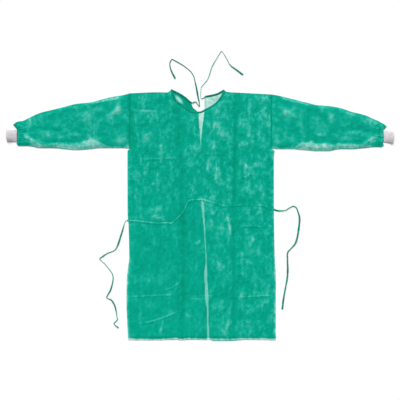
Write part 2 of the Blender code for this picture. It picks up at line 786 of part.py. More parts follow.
def build_gown():
    """The whole gown."""
    build_front()
    build_back("back_left", BACK_NECK_LEFT, LEFT_COLUMNS, LEFT_SIDE, "left")
    build_back("back_right", BACK_NECK_RIGHT, RIGHT_COLUMNS, RIGHT_SIDE, "right")
    build_sleeve("sleeve_left", SLEEVE_LEFT, END_LEFT)
    build_sleeve("sleeve_right", SLEEVE_RIGHT, END_RIGHT)
    build_cuff("cuff_left", CUFF_LEFT)
    build_cuff("cuff_right", CUFF_RIGHT)
    stop = (BACK_BINDING_STOP, BACK_BINDING_STOP)
    build_binding("neck_binding_front", FRONT_NECK, LAYER * 2, (0.0, 0.0), (0.0, 0.0))
    build_binding("neck_binding_back_left", BACK_NECK_LEFT, LAYER, BACK_BINDING_START, stop)
    build_binding("neck_binding_back_right", BACK_NECK_RIGHT, LAYER, BACK_BINDING_START, stop)
    left_root = along(OPENING, "y", OPENING_MIDDLE.tie_y, "left") - TAPE_ROOT
    right_root = along(OPENING, "y", OPENING_MIDDLE.tie_y, "right") + TAPE_ROOT
    left_run = under_body(tuple(reversed(LEFT_COLUMNS)) + (LEFT_SIDE,), left_root)
    right_run = under_body(RIGHT_COLUMNS + (RIGHT_SIDE,), right_root)
    build_tape("waist_tie_left", left_run + WAIST_TIE_LEFT)
    build_tape("waist_tie_right", right_run + WAIST_TIE_RIGHT)
    build_tape("neck_tie_left", NECK_TIE_LEFT, 1)
    build_tape("neck_tie_right", NECK_TIE_RIGHT, 1)


for old in list(bpy.data.objects):
    bpy.data.objects.remove(old, do_unlink=True)
place = bpy.data.objects.new("gown_place", None)
place.location = GOWN_PLACE
bpy.context.collection.objects.link(place)
build_gown()
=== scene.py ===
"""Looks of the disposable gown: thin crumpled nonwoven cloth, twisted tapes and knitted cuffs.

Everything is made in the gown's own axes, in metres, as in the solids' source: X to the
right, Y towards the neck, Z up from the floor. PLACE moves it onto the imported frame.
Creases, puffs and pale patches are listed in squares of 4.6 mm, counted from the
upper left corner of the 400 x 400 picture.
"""

import bpy
import numpy as np
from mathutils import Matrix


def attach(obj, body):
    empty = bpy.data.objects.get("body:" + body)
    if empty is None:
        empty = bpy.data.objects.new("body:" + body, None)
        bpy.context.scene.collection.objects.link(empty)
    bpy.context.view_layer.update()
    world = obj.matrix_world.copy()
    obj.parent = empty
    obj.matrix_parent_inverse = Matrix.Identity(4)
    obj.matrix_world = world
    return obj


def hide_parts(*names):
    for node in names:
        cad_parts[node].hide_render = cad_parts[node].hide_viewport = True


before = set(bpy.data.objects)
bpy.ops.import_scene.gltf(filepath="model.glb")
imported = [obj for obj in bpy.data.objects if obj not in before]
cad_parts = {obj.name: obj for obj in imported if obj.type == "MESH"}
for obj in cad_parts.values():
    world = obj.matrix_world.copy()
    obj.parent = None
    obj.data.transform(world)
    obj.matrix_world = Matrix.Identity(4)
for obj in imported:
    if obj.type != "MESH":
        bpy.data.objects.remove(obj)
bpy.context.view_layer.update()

PLACE = np.array([0.0058, -0.0867, 0.0])
SQUARE = 0.0046
PICTURE = 400
MIDDLE_PX, MIDDLE_PY = 201.2, 214.5
MM = 0.001
TURN = 2 * np.pi

# Thickness of cloth and tape, the clearance between layers, and the ties' half width
CLOTH = 0.35 * MM
TAPE = 0.80 * MM
CLEAR = 0.25 * MM
TIE_HALF = 5.0 * MM
TAPE_WIDTH = 0.010

HEM_Y = -0.575
ARMPIT_Y = 0.301
PANEL_LEFT, PANEL_RIGHT = -0.33, 0.3257
# Where the waist ties are sewn to the edges of the back opening
SEWN_Y = 0.0709


def at(px, py):
    """The gown's coordinates of a square of the picture."""
    return (px - MIDDLE_PX) * SQUARE, (MIDDLE_PY - py) * SQUARE


# The camera first: straight above, with the picture's 1.84 m across
LENS, SENSOR = 85.0, 36.0
camera = bpy.data.objects.new("camera", bpy.data.cameras.new("camera"))
camera.data.lens = LENS
camera.data.sensor_width = SENSOR
centre_x, centre_y = at(PICTURE / 2, PICTURE / 2)
camera_height = PICTURE * SQUARE * LENS / SENSOR
camera.location = (centre_x + PLACE[0], centre_y + PLACE[1], camera_height)
bpy.context.scene.collection.objects.link(camera)
bpy.context.scene.camera = camera


# Curves and noise


def smooth(value, stations, outputs):
    """A smooth curve through stations that never swings past them."""
    xs = np.asarray(stations, float)
    ys = np.asarray(outputs, float)
    step = np.diff(xs)
    rise = np.diff(ys) / step
    slope = np.zeros(len(xs))
    for k in range(1, len(xs) - 1):
        if rise[k - 1] * rise[k] > 0:
            a, b = 2 * step[k] + step[k - 1], step[k] + 2 * step[k - 1]
            slope[k] = (a + b) / (a / rise[k - 1] + b / rise[k])
    slope[0], slope[-1] = rise[0], rise[-1]
    value = np.clip(value, xs[0], xs[-1])
    k = np.clip(np.searchsorted(xs, value, side="right") - 1, 0, len(step) - 1)
    t = (value - xs[k]) / step[k]
    near = (1 + 2 * t) * (1 - t) ** 2 * ys[k] + t * (1 - t) ** 2 * step[k] * slope[k]
    far = t * t * (3 - 2 * t) * ys[k + 1] + t * t * (t - 1) * step[k] * slope[k + 1]
    return near + far


def ease(value, low, high):
    """Rises smoothly from 0 at low to 1 at high."""
    t = np.clip((value - low) / (high - low), 0.0, 1.0)
    return t * t * (3 - 2 * t)


# Noise repeats after this many cells
LATTICE = 64


def noise(x, y, size, seed):
    """Gradient noise from about -1 to 1 with features of that size."""
    angle = np.random.default_rng(seed).uniform(0, TURN, (LATTICE, LATTICE))
    gx, gy = x / size + 17.3, y / size + 5.7
    ix, iy = np.floor(gx).astype(int), np.floor(gy).astype(int)
    fx, fy = gx - ix, gy - iy
    u = fx**3 * (fx * (fx * 6 - 15) + 10)
    v = fy**3 * (fy * (fy * 6 - 15) + 10)

    def corner(i, j):
        turn = angle[(ix + i) % LATTICE, (iy + j) % LATTICE]
        return np.cos(turn) * (fx - i) + np.sin(turn) * (fy - j)

    low = corner(0, 0) * (1 - u) + corner(1, 0) * u
    high = corner(0, 1) * (1 - u) + corner(1, 1) * u
    return 1.6 * (low * (1 - v) + high * v)


def bell(away, width):
    """1 on a line, falling off smoothly over that width."""
    return np.exp(-((away / width) ** 2))


def crumple(x, y, size, seed):
    """Creased noise from 0 to 1: facets that meet in sharp low ridges."""
    bent_x = x + 0.35 * size * noise(x, y, size * 1.7, seed + 50)
    bent_y = y + 0.35 * size * noise(x, y, size * 1.7, seed + 51)
    folds = 1 - np.abs(noise(bent_x, bent_y, size, seed))
    return folds * folds


def along_line(x, y, points):
    """Distance of each point from a line, the way along it to there, and the line's length."""
    best = np.full(x.shape, 9.0)
    way = np.zeros(x.shape)
    done = 0.0
    for (ax, ay), (bx, by) in zip(points, points[1:]):
        dx, dy = bx - ax, by - ay
        length = np.hypot(dx, dy)
        t = np.clip(((x - ax) * dx + (y - ay) * dy) / length**2, 0, 1)
        away = np.hypot(x - ax - t * dx, y - ay - t * dy)
        closer = away < best
        best = np.where(closer, away, best)
        way = np.where(closer, done + t * length, way)
        done += length
    return best, way, done


def near_line(x, y, line):
    """Distance of each point from a line through squares, and its share of the way along."""
    away, way, length = along_line(x, y, [at(*p) for p in line])
    return away, way / length


def add_folds(x, y, table, height, tone, seed=0, rise_share=1.0, tone_share=1.0):
    """Adds the listed creases: (line, half width mm, height mm, tone)."""
    for k, (line, half, rise, shade) in enumerate(table):
        away, share = near_line(x, y, line)
        away = np.abs(away + 0.35 * half * MM * noise(x, y, 0.022, seed + k))
        profile = np.exp(-((away / (half * MM)) ** 1.4))
        # Pale crease lines are partly whitened cloth and partly a painted highlight on the crest;
        # dark ones are partly pressed cloth and partly painted shade in the hollow
        glow = 0.80 * np.exp(-((away / (1.45 * half * MM)) ** 1.7)) if shade > 0 else profile
        window = ease(share, -0.02, 0.16) * ease(1 - share, -0.02, 0.16)
        window *= 0.8 + 0.4 * noise(x, y, 0.03, seed + k + 7)
        height += rise_share * rise * MM * profile * window
        tone += (tone_share if shade > 0 else 1.0) * shade * glow * window
    return height, tone


def add_patches(x, y, table, height, tone, seed=0):
    """Adds lifted pale patches: (px, py, half width, half height, turn, lift mm, tone)."""
    for k, (px, py, rx, ry, turn, lift, shade) in enumerate(table):
        cx, cy = at(px, py)
        c, s = np.cos(np.radians(turn)), np.sin(np.radians(turn))
        dx = ((x - cx) * c + (y - cy) * s) / (rx * SQUARE)
        dy = ((y - cy) * c - (x - cx) * s) / (ry * SQUARE)
        away = dx * dx + dy * dy
        ragged = 0.8 + 0.5 * noise(x, y * 0.7, 0.021, seed + k)
        ragged = ragged + 0.4 * noise(x, y * 0.7, 0.009, seed + k + 9)
        height += lift * MM * np.exp(-away)
        tone += 0.85 * shade * np.exp(-(away**1.1)) * np.clip(ragged, 0, 1.4)
    return height, tone


# The gown's outlines, in the gown's own metres

# y, left edge, right edge of the body
SIDES = (
    (-0.575, -0.3367, 0.3427),
    (-0.390, -0.3436, 0.3425),
    (-0.300, -0.3425, 0.3430),
    (-0.190, -0.3310, 0.3375),
    (-0.050, -0.3340, 0.3345),
    (0.010, -0.3385, 0.3340),
    (0.260, -0.3390, 0.3335),
    (0.292, -0.3390, 0.3370),
    (0.301, -0.3300, 0.3257),
    (0.570, -0.3300, 0.3257),
)
# y, left edge, right edge of the back opening
OPENING = (
    (-0.590, 0.0262, 0.0404),
    (-0.540, 0.0256, 0.0372),
    (-0.430, 0.0246, 0.0333),
    (-0.390, 0.0170, 0.0336),
    (-0.320, 0.0148, 0.0304),
    (-0.280, 0.0120, 0.0280),
    (-0.210, 0.0190, 0.0262),
    (-0.135, 0.0155, 0.0210),
    (-0.060, 0.0101, 0.0190),
    (-0.007, 0.0046, 0.0156),
    (0.048, -0.0009, 0.0143),
    (0.085, 0.0008, 0.0020),
    (0.305, 0.0000, 0.0012),
    (0.340, -0.0064, 0.0005),
    (0.379, -0.0069, 0.0037),
    (0.416, -0.0120, 0.0074),
    (0.4623, -0.0124, 0.0140),
    (0.4761, -0.0193, 0.0150),
    (0.4899, -0.0363, 0.0150),
    (0.5147, -0.0446, 0.0147),
    (0.5437, -0.0446, 0.0143),
)
# Where the shoulders meet the neck, and where the back opening does
NECK_LEFT, NECK_RIGHT = (-0.1366, 0.5759), (0.1035, 0.5741)
OPENING_LEFT, OPENING_RIGHT = (-0.0446, 0.5147), (0.0143, 0.5437)
SHOULDER_LEFT = ((PANEL_LEFT, 0.5570), (-0.2000, 0.5620), (-0.1541, 0.5612), NECK_LEFT)
SHOULDER_RIGHT = (NECK_RIGHT, (0.1190, 0.5635), (0.1690, 0.5603), (PANEL_RIGHT, 0.5520))
FRONT_NECK = (
    NECK_LEFT,
    (-0.1150, 0.5235),
    (-0.0934, 0.5095),
    (-0.0814, 0.4985),
    (-0.0600, 0.4840),
    (-0.0405, 0.4738),
    (-0.0069, 0.4729),
    (0.0083, 0.4789),
    (0.0616, 0.5092),
    (0.0925, 0.5474),
    NECK_RIGHT,
)
BACK_NECK_LEFT = (NECK_LEFT, (-0.0833, 0.5474), OPENING_LEFT)
BACK_NECK_RIGHT = (OPENING_RIGHT, (0.0700, 0.5560), NECK_RIGHT)
# How far the hem hangs below HEM_Y: x, on the front, on the back
HEMS = (
    (-0.340, 0.0000, -0.0015),
    (-0.200, 0.0010, 0.0000),
    (-0.115, -0.0025, -0.0010),
    (-0.093, 0.0015, 0.0000),
    (-0.060, -0.0020, 0.0000),
    (0.015, 0.0000, 0.0010),
    (0.045, 0.0000, 0.0070),
    (0.135, 0.0005, 0.0065),
    (0.220, -0.0010, 0.0000),
    (0.340, 0.0010, -0.0010),
)
# The waist ties' line below the body
TIE_LINE = (
    (-0.3360, -0.0271),
    (-0.3000, -0.0280),
    (-0.2500, -0.0335),
    (-0.2000, -0.0396),
    (-0.1541, -0.0368),
    (-0.1366, -0.0396),
    (-0.1150, -0.0180),
    (-0.0934, 0.0003),
    (-0.0814, 0.0170),
    (-0.0694, 0.0420),
    (-0.0600, 0.0630),
    (-0.0470, 0.0676),
    (0.0035, 0.0709),
    (0.0550, 0.0562),
    (0.0790, 0.0485),
    (0.0925, 0.0442),
    (0.1035, 0.0409),
    (0.1190, 0.0418),
    (0.1366, 0.0430),
    (0.1486, 0.0435),
    (0.1606, 0.0445),
    (0.2190, 0.0483),
    (0.2893, 0.0423),
    (0.3360, 0.0225),
)


def column(table, k):
    """One column of a table."""
    return [row[k] for row in table]


def side_x(y, left):
    return smooth(y, column(SIDES, 0), column(SIDES, 1 if left else 2))


def opening_x(y, left):
    return smooth(y, column(OPENING, 0), column(OPENING, 1 if left else 2))


def from_sides(x, y):
    """Distance to the nearer side edge."""
    return np.minimum(x - side_x(y, True), side_x(y, False) - x)


def tie_height(x, y):
    """How much the cloth is lifted over the waist ties, from 0 to 1, and nearness to the crest."""
    line_x = np.array(column(TIE_LINE, 0))
    line_y = np.array(column(TIE_LINE, 1))
    steep = np.gradient(line_y, line_x)
    off = np.abs(y - np.interp(x, line_x, line_y)) / np.sqrt(1 + np.interp(x, line_x, steep) ** 2)
    inside = ease(x, -0.345, -0.33) * ease(-x, -0.345, -0.33)
    return (1 - ease(off, TIE_HALF, TIE_HALF + 7 * MM)) * inside, off


def in_opening(x, y):
    """1 between the edges of the back opening, 0 outside, with a soft edge."""
    left, right = opening_x(y, True), opening_x(y, False)
    wide = ease(right - left, 1.5 * MM, 4 * MM)
    past_left = ease(x, left - 0.8 * MM, left + 1.6 * MM)
    before_right = ease(-x, -right - 0.8 * MM, 1.6 * MM - right)
    return past_left * before_right * wide


# Creases of the front, in squares: line, half width mm, height mm, tone

FRONT_FOLDS = (
    (((130, 109.9), (144, 110.8), (158, 111.4)), 2.4, 1.3, 0.18),
    (((130, 107.9), (144, 108.6), (160, 109.3)), 2.4, -1.0, -0.15),
    (((216, 109.3), (226, 109.0), (236, 109.4)), 2.6, -1.2, -0.14),
    (((216, 107.6), (234, 107.6)), 2.2, 0.8, 0.06),
    (((141, 159.8), (158, 158.6), (177, 158.0)), 2.2, 1.3, 0.16),
    (((142, 161.4), (176, 160.0)), 3.0, -0.9, -0.08),
    (((202, 154.6), (215, 152.8), (229, 154.2)), 2.4, 1.2, 0.12),
    (((203, 156.4), (230, 156.2)), 3.2, -1.1, -0.10),
    (((235, 179.5), (243, 177.2), (252, 174.0)), 2.6, 1.3, 0.13),
    (((236, 181.5), (254, 176.0)), 3.5, -0.8, -0.07),
    (((129, 296.6), (150, 295.6), (174, 294.6)), 1.9, 1.5, 0.26),
    (((129, 298.4), (174, 296.6)), 2.8, -1.0, -0.08),
    (((185, 296.2), (201, 295.8), (214, 295.6)), 1.9, 1.1, 0.16),
    (((186, 298.8), (206, 298.6)), 1.9, 0.9, 0.12),
    (((236, 297.0), (255, 296.0), (273, 295.0)), 1.9, 1.5, 0.24),
    (((238, 298.9), (272, 297.0)), 2.8, -1.0, -0.08),
    (((136, 323.4), (150, 321.6), (160, 318.4), (168, 315.4), (179, 311.0)), 2.4, 1.9, 0.24),
    (((138, 325.6), (154, 323.4), (170, 317.4), (180, 313.0)), 3.6, -1.1, -0.08),
    (((162.8, 318), (162.4, 326), (159.6, 334)), 3.0, 1.8, 0.12),
    (((164.6, 319), (164.2, 327), (161.8, 334)), 3.0, -1.0, -0.05),
    (((163, 290.4), (171, 288.0), (181, 281.6)), 2.6, 1.6, 0.20),
    (((165, 292.4), (183, 283.4)), 3.4, -0.9, -0.06),
    (((186, 314.2), (190, 316.4), (194, 317.2)), 2.4, 1.4, 0.18),
    (((239, 227.4), (252, 228.0), (265, 228.6)), 2.2, -1.3, -0.16),
    (((239, 225.8), (264, 226.6)), 2.4, 0.8, 0.08),
    (((214, 227.6), (219, 227.9), (225, 227.6)), 1.8, 0.9, 0.14),
    (((215, 229.6), (224, 229.6)), 1.8, 0.8, 0.10),
    (((226.5, 214), (229.5, 224), (231, 238)), 4.2, 2.2, 0.14),
    (((230.5, 214), (232.8, 224), (233.6, 236)), 3.4, -1.1, -0.08),
    (((148.5, 218.4), (154, 216.2), (160, 213.8)), 2.0, 1.2, 0.15),
    (((150, 220.0), (157, 218.4), (166, 216.4)), 2.0, 1.0, 0.12),
    (((152, 217.4), (158, 217.6), (166, 220.0)), 1.8, 0.9, 0.10),
    (((192, 245.2), (196, 243.0), (200.5, 239.6)), 2.4, 1.3, 0.20),
    (((190, 251), (206, 253)), 2.2, 0.8, 0.06),
    (((134.6, 110), (135.8, 122), (139.5, 146)), 2.6, 1.2, 0.12),
    (((131.8, 112), (132.6, 130), (134.5, 152)), 3.4, -1.0, -0.10),
    (((269.5, 112), (269.8, 130), (268.5, 152)), 2.6, 1.1, 0.10),
    (((272.0, 106), (272.2, 128), (272.0, 152)), 3.0, -1.1, -0.14),
    (((211, 108), (214.5, 122), (213, 134)), 2.6, 1.3, 0.12),
    (((216, 160), (216.6, 170), (214.8, 182)), 3.0, 1.7, 0.18),
    (((208.5, 158), (207.4, 168), (209.5, 176)), 2.8, 1.1, 0.10),
    (((176, 146), (182, 157), (184, 172)), 3.6, 0.9, 0.05),
    (((187, 135), (190, 148), (197, 158)), 3.0, 1.0, 0.08),
    (((244, 161), (247, 168), (244, 176)), 3.0, 1.4, 0.14),
    (((257, 161), (254, 166), (249, 171)), 2.6, 1.0, 0.10),
    (((132, 178), (141, 184), (147, 193)), 3.0, 1.1, 0.07),
    (((150, 186), (158, 182), (165, 176)), 3.0, 1.1, 0.06),
    (((240, 258), (250, 264), (262, 266)), 2.8, 0.9, 0.08),
    (((238, 320), (250, 322), (262, 321)), 2.6, 1.1, 0.14),
    (((205, 262), (214, 270), (222, 282)), 3.2, 0.9, 0.05),
    (((131, 272), (143, 264), (150, 258)), 3.4, 1.0, 0.05),
    (((131, 286), (139, 280), (146, 272)), 3.0, 0.9, 0.07),
    (((206, 331), (210, 336), (213, 341)), 2.2, 1.3, 0.10),
    (((218, 326), (224, 332), (228, 341)), 2.4, 1.4, 0.12),
    (((250, 330), (248, 336), (251, 341)), 2.2, 1.2, 0.10),
    (((134, 330), (133, 338)), 2.6, 1.1, 0.08),
    (((188, 300), (186, 318), (189, 334)), 3.2, 1.1, 0.06),
)
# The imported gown's long folds: troughs where the cloth lies pressed flat and reads darker
FRONT_TROUGHS = (
    (((177.0, 88), (177.5, 108), (179.4, 140), (181.8, 170), (183.2, 200)), 19.0, -2.2, -0.16),
    (((182.5, 190), (183.2, 240), (183.8, 290), (182.6, 338)), 16.0, -2.2, -0.19),
    (((235.4, 88), (235.6, 120), (235.2, 170), (234.4, 215)), 12.0, -1.8, -0.18),
    (((234.2, 205), (233.8, 260), (233.8, 338)), 11.0, -1.8, -0.16),
    (((130.5, 100), (129.5, 130), (128.8, 152)), 7.0, -1.6, -0.12),
    (((202.0, 150), (201.6, 175), (201.4, 200)), 4.0, -0.8, -0.10),
    (((134, 205), (150, 207), (168, 203)), 9.0, -1.0, -0.07),
    (((150, 262), (165, 258), (178, 262)), 22.0, -0.6, -0.06),
)
FRONT_PATCHES = (
    (229.2, 225.5, 2.2, 9.5, 10, 0.8, 0.32),
    (161.6, 326.0, 2.2, 7.0, -10, 0.8, 0.24),
    (198.0, 243.0, 3.0, 1.8, 30, 0.7, 0.24),
    (148.0, 98.5, 4.5, 3.5, 0, 1.0, 0.18),
    (147.0, 111.8, 7.0, 1.6, 0, 0.9, 0.15),
    (141.5, 116.5, 2.4, 3.6, 0, 0.9, 0.16),
    (141.8, 123.0, 2.4, 2.4, 0, 1.0, 0.20),
    (157.0, 117.5, 1.9, 4.6, 8, 1.1, 0.24),
    (148.5, 135.0, 5.0, 4.2, 0, 1.3, 0.30),
    (137.5, 147.5, 1.8, 4.6, 0, 0.8, 0.16),
    (159.5, 147.0, 4.0, 3.8, 30, 1.0, 0.22),
    (166.5, 139.0, 2.2, 6.0, 0, 0.7, 0.12),
    (145.0, 165.5, 4.6, 5.4, 0, 1.1, 0.18),
    (137.0, 175.0, 2.2, 4.4, 0, 0.8, 0.12),
    (158.0, 182.0, 3.6, 4.0, 20, 0.8, 0.12),
    (191.0, 121.0, 5.5, 6.5, 0, 1.0, 0.16),
    (190.5, 149.5, 4.4, 4.4, -30, 1.2, 0.22),
    (183.0, 155.5, 2.6, 3.6, 0, 0.8, 0.16),
    (197.5, 150.0, 3.0, 6.0, 0, 1.0, 0.18),
    (176.0, 105.0, 4.0, 4.0, 30, 0.8, 0.14),
    (215.5, 111.0, 5.4, 4.2, 0, 1.2, 0.28),
    (215.0, 124.0, 2.4, 6.6, 6, 1.2, 0.28),
    (222.5, 134.0, 5.4, 6.0, 0, 0.8, 0.16),
    (212.0, 146.5, 4.0, 4.4, -20, 1.3, 0.32),
    (221.5, 149.0, 3.0, 3.2, 0, 0.9, 0.20),
    (229.0, 150.5, 3.0, 3.0, 0, 0.9, 0.20),
    (208.0, 166.0, 2.8, 8.0, 4, 1.0, 0.22),
    (217.0, 176.0, 2.6, 8.0, 0, 1.1, 0.26),
    (227.5, 172.0, 2.0, 5.0, 0, 0.8, 0.18),
    (224.0, 184.0, 8.0, 4.0, 0, 0.6, 0.12),
    (207.0, 183.5, 7.0, 4.0, 0, 0.6, 0.10),
    (242.0, 121.0, 4.4, 5.0, 0, 1.0, 0.20),
    (242.5, 132.5, 4.0, 3.0, 30, 1.0, 0.22),
    (244.0, 144.5, 4.6, 5.0, 20, 1.2, 0.24),
    (262.0, 100.5, 7.0, 3.6, 0, 1.4, 0.34),
    (262.5, 121.0, 5.6, 9.0, 0, 1.3, 0.30),
    (256.0, 134.0, 7.5, 3.2, 0, 0.9, 0.16),
    (261.5, 146.0, 3.6, 4.2, 0, 1.1, 0.24),
    (266.5, 157.0, 4.0, 3.6, 0, 0.7, 0.14),
    (246.0, 167.0, 2.2, 5.4, -14, 1.2, 0.28),
    (262.0, 174.5, 5.0, 6.4, 0, 1.0, 0.22),
    (251.5, 191.0, 4.4, 5.4, 0, 1.2, 0.30),
    (263.0, 189.5, 3.2, 4.6, 0, 1.0, 0.24),
    (242.0, 193.0, 3.0, 5.0, 0, 0.7, 0.14),
    (153.5, 210.5, 6.0, 3.0, 14, 1.4, 0.26),
    (151.0, 204.0, 7.0, 3.0, 0, 0.8, 0.14),
    (155.5, 217.2, 9.0, 2.6, -6, 1.0, 0.16),
    (131.5, 206.0, 2.4, 3.6, 0, 0.6, 0.12),
    (144.5, 249.5, 8.0, 2.4, -6, 0.7, 0.12),
    (168.0, 236.0, 9.0, 3.0, 0, 0.4, 0.06),
    (137.5, 269.0, 3.0, 4.0, 30, 0.6, 0.10),
    (147.5, 281.5, 5.0, 5.0, 0, 1.0, 0.16),
    (134.5, 301.0, 3.6, 3.0, 40, 0.9, 0.16),
    (149.5, 304.0, 3.0, 4.0, 0, 0.7, 0.12),
    (150.0, 334.0, 4.5, 3.4, 0, 0.8, 0.14),
    (189.5, 293.0, 2.4, 4.6, 0, 1.2, 0.24),
    (197.5, 299.5, 4.4, 2.2, 0, 0.8, 0.16),
    (187.5, 316.0, 4.6, 3.0, 20, 0.8, 0.16),
    (199.0, 326.0, 7.0, 3.0, 0, 0.5, 0.08),
    (196.0, 216.0, 3.4, 6.4, 0, 0.7, 0.14),
    (211.5, 222.0, 3.0, 3.6, 0, 0.9, 0.18),
    (213.5, 213.0, 3.4, 4.0, 0, 0.9, 0.18),
    (220.0, 236.0, 4.4, 3.6, 0, 0.9, 0.20),
    (229.5, 235.5, 2.2, 3.6, 0, 1.3, 0.24),
    (251.0, 241.0, 3.8, 4.6, 0, 1.2, 0.28),
    (258.5, 252.0, 4.0, 4.6, 0, 1.2, 0.28),
    (240.5, 254.5, 3.2, 4.4, 0, 1.2, 0.28),
    (215.5, 256.0, 3.4, 3.4, 0, 0.8, 0.18),
    (220.5, 266.0, 5.0, 4.6, 0, 1.0, 0.22),
    (229.0, 264.5, 2.6, 3.0, 0, 0.8, 0.16),
    (241.0, 272.0, 3.4, 3.2, 0, 0.9, 0.20),
    (257.5, 262.5, 3.4, 3.0, 0, 0.8, 0.16),
    (270.0, 266.0, 3.2, 4.4, 0, 0.7, 0.14),
    (262.0, 211.0, 4.2, 6.4, 0, 0.9, 0.20),
    (271.0, 218.0, 2.8, 5.0, 0, 0.7, 0.14),
    (246.0, 210.0, 5.0, 3.6, 0, 0.7, 0.14),
    (241.5, 293.0, 4.4, 3.0, 0, 1.0, 0.20),
    (259.5, 294.0, 4.4, 3.0, 0, 0.9, 0.18),
    (261.0, 303.5, 3.0, 5.4, 0, 1.1, 0.26),
    (222.0, 308.5, 3.2, 3.4, 0, 1.1, 0.28),
    (228.5, 322.5, 3.8, 6.6, -12, 1.4, 0.34),
    (213.0, 321.0, 5.0, 5.0, 0, 0.6, 0.12),
    (250.5, 333.0, 6.0, 4.0, 0, 0.8, 0.16),
    (247.0, 321.5, 6.0, 2.2, 0, 0.8, 0.16),
    (269.0, 318.0, 3.2, 6.0, 0, 0.7, 0.14),
    (216.0, 334.0, 7.0, 3.0, 0, 0.6, 0.10),
)


def front_mottle(x, y):
    """How blotched the front is: most on the upper and right body, least at the lower left."""
    upper = ease(y, -0.10, 0.12)
    right = ease(x, -0.04, 0.10)
    return 0.34 + 0.26 * upper + 0.24 * right * (1 - upper) + 0.08 * right * upper


def back_under(x, y):
    """Height of a back panel's underside over the floor."""
    ridge, _ = tie_height(x, y)
    small = 0.45 * crumple(x * 1.3, y * 0.8, 0.034, 11)
    small = small + 0.3 * ease(noise(x, y, 0.09, 12), -0.2, 0.8)
    inward = ease(from_sides(x, y), 0.0, 0.02)
    return np.maximum(ridge * (TAPE + CLEAR), small * MM * inward)


def edge_distance(x, y, top_y, hem_y):
    """Distance to the nearest side, hem or upper edge."""
    return np.minimum(from_sides(x, y), np.minimum(y - hem_y, top_y - y))


def seam_pucker(y, away):
    """Height and tone of the small dimples that a row of stitches draws in beside a seam."""
    pitch = y + 0.0016 * noise(y, 0 * y, 0.013, 95)
    pull = 0.5 + 0.5 * np.sin(TURN * pitch / 0.0068)
    near = bell(away, 0.0055)
    groove = bell(away, 0.0020)
    return -0.38 * MM * pull * near - 0.30 * MM * groove, -0.07 * pull * near - 0.12 * groove


def front_form(x, y, top_y, hem_y):
    """Height of the front over the back panels, its tone and its broad part alone."""
    tone = np.zeros(x.shape)
    swell = 0.8 * MM * (noise(x, y, 0.21, 1) + 0.7 * noise(x, y * 0.7, 0.11, 2))
    height = swell + 1.5 * MM
    height += 1.3 * MM * crumple(x * 1.25, y * 0.8, 0.062, 3)
    height += 0.6 * MM * crumple(x * 1.6, y * 0.8, 0.027, 4)
    height += 0.24 * MM * crumple(x * 1.3, y * 0.8, 0.012, 5)
    height += 0.10 * MM * noise(x * 1.3, y, 0.006, 8)
    height, tone = add_folds(x, y, FRONT_FOLDS, height, tone, 100, 0.7, 1.7)
    height, tone = add_folds(x, y, FRONT_TROUGHS, height, tone, 200)
    height, tone = add_patches(x, y, FRONT_PATCHES, height, tone, 300)
    height, tone = add_gathers(x, y, height, tone)
    edge = edge_distance(x, y, top_y, hem_y)
    flutter = ease(-y, -hem_y - 0.03, -hem_y) * (1 + noise(x, y * 0.2, 0.045, 6)) * 0.9 * MM
    height = np.maximum(height, 0.15 * MM) * (0.12 + 0.88 * ease(edge, 0.0, 0.020)) + flutter
    height = height * (1 - 0.85 * in_opening(x, y))
    sides = from_sides(x, y)
    armhole = ease(y, ARMPIT_Y, ARMPIT_Y + 0.005)
    height += armhole * (0.8 * MM * bell(sides, 0.006) + seam_pucker(y, sides)[0])
    broad = np.maximum(swell * 0.5, 0.0) * ease(edge, 0.0, 0.05) + flutter
    return np.maximum(height, broad + 0.05 * MM), tone, broad


def add_gathers(x, y, height, tone):
    """The small pleats that run out from the bound neck, most on its right side."""
    away, way, _ = along_line(x, y, FRONT_NECK)
    reach = 0.010 + 0.016 * ease(way, 0.13, 0.20) + 0.006 * noise(way, 0 * way, 0.011, 91)
    fade = ease(-away, -reach - 0.012, -0.004) * (0.45 + 0.55 * ease(way, 0.12, 0.19))
    pitch = way + 0.0022 * noise(way, 0 * way, 0.017, 92)
    pleat = np.sin(TURN * pitch / 0.0072) * (0.75 + 0.5 * noise(way, 0 * way, 0.013, 93))
    return height + 0.70 * MM * pleat * fade, tone + 0.115 * pleat * fade


def front_under(x, y, top_y, hem_y):
    """Heights of the front's upper face and of its underside over the floor, and its tone."""
    form, tone, broad = front_form(x, y, top_y, hem_y)
    lowest = back_under(x, y) + CLOTH + CLEAR
    return lowest + CLOTH + form, lowest + broad, tone


# Meshes


def normals_of(grid, wrap):
    """Unit normals of a grid of points."""
    if wrap:
        across = np.roll(grid, -1, 1) - np.roll(grid, 1, 1)
    else:
        across = np.empty_like(grid)
        across[:, 1:-1] = grid[:, 2:] - grid[:, :-2]
        across[:, 0] = grid[:, 1] - grid[:, 0]
        across[:, -1] = grid[:, -1] - grid[:, -2]
    up = np.empty_like(grid)
    up[1:-1] = grid[2:] - grid[:-2]
    up[0] = grid[1] - grid[0]
    up[-1] = grid[-1] - grid[-2]
    normal = np.cross(across, up)
    size = np.linalg.norm(normal, axis=2, keepdims=True)
    return normal / np.maximum(size, 1e-12)


# Folds sharper than this keep a hard edge, in radians
SHARP_ANGLE = 0.9


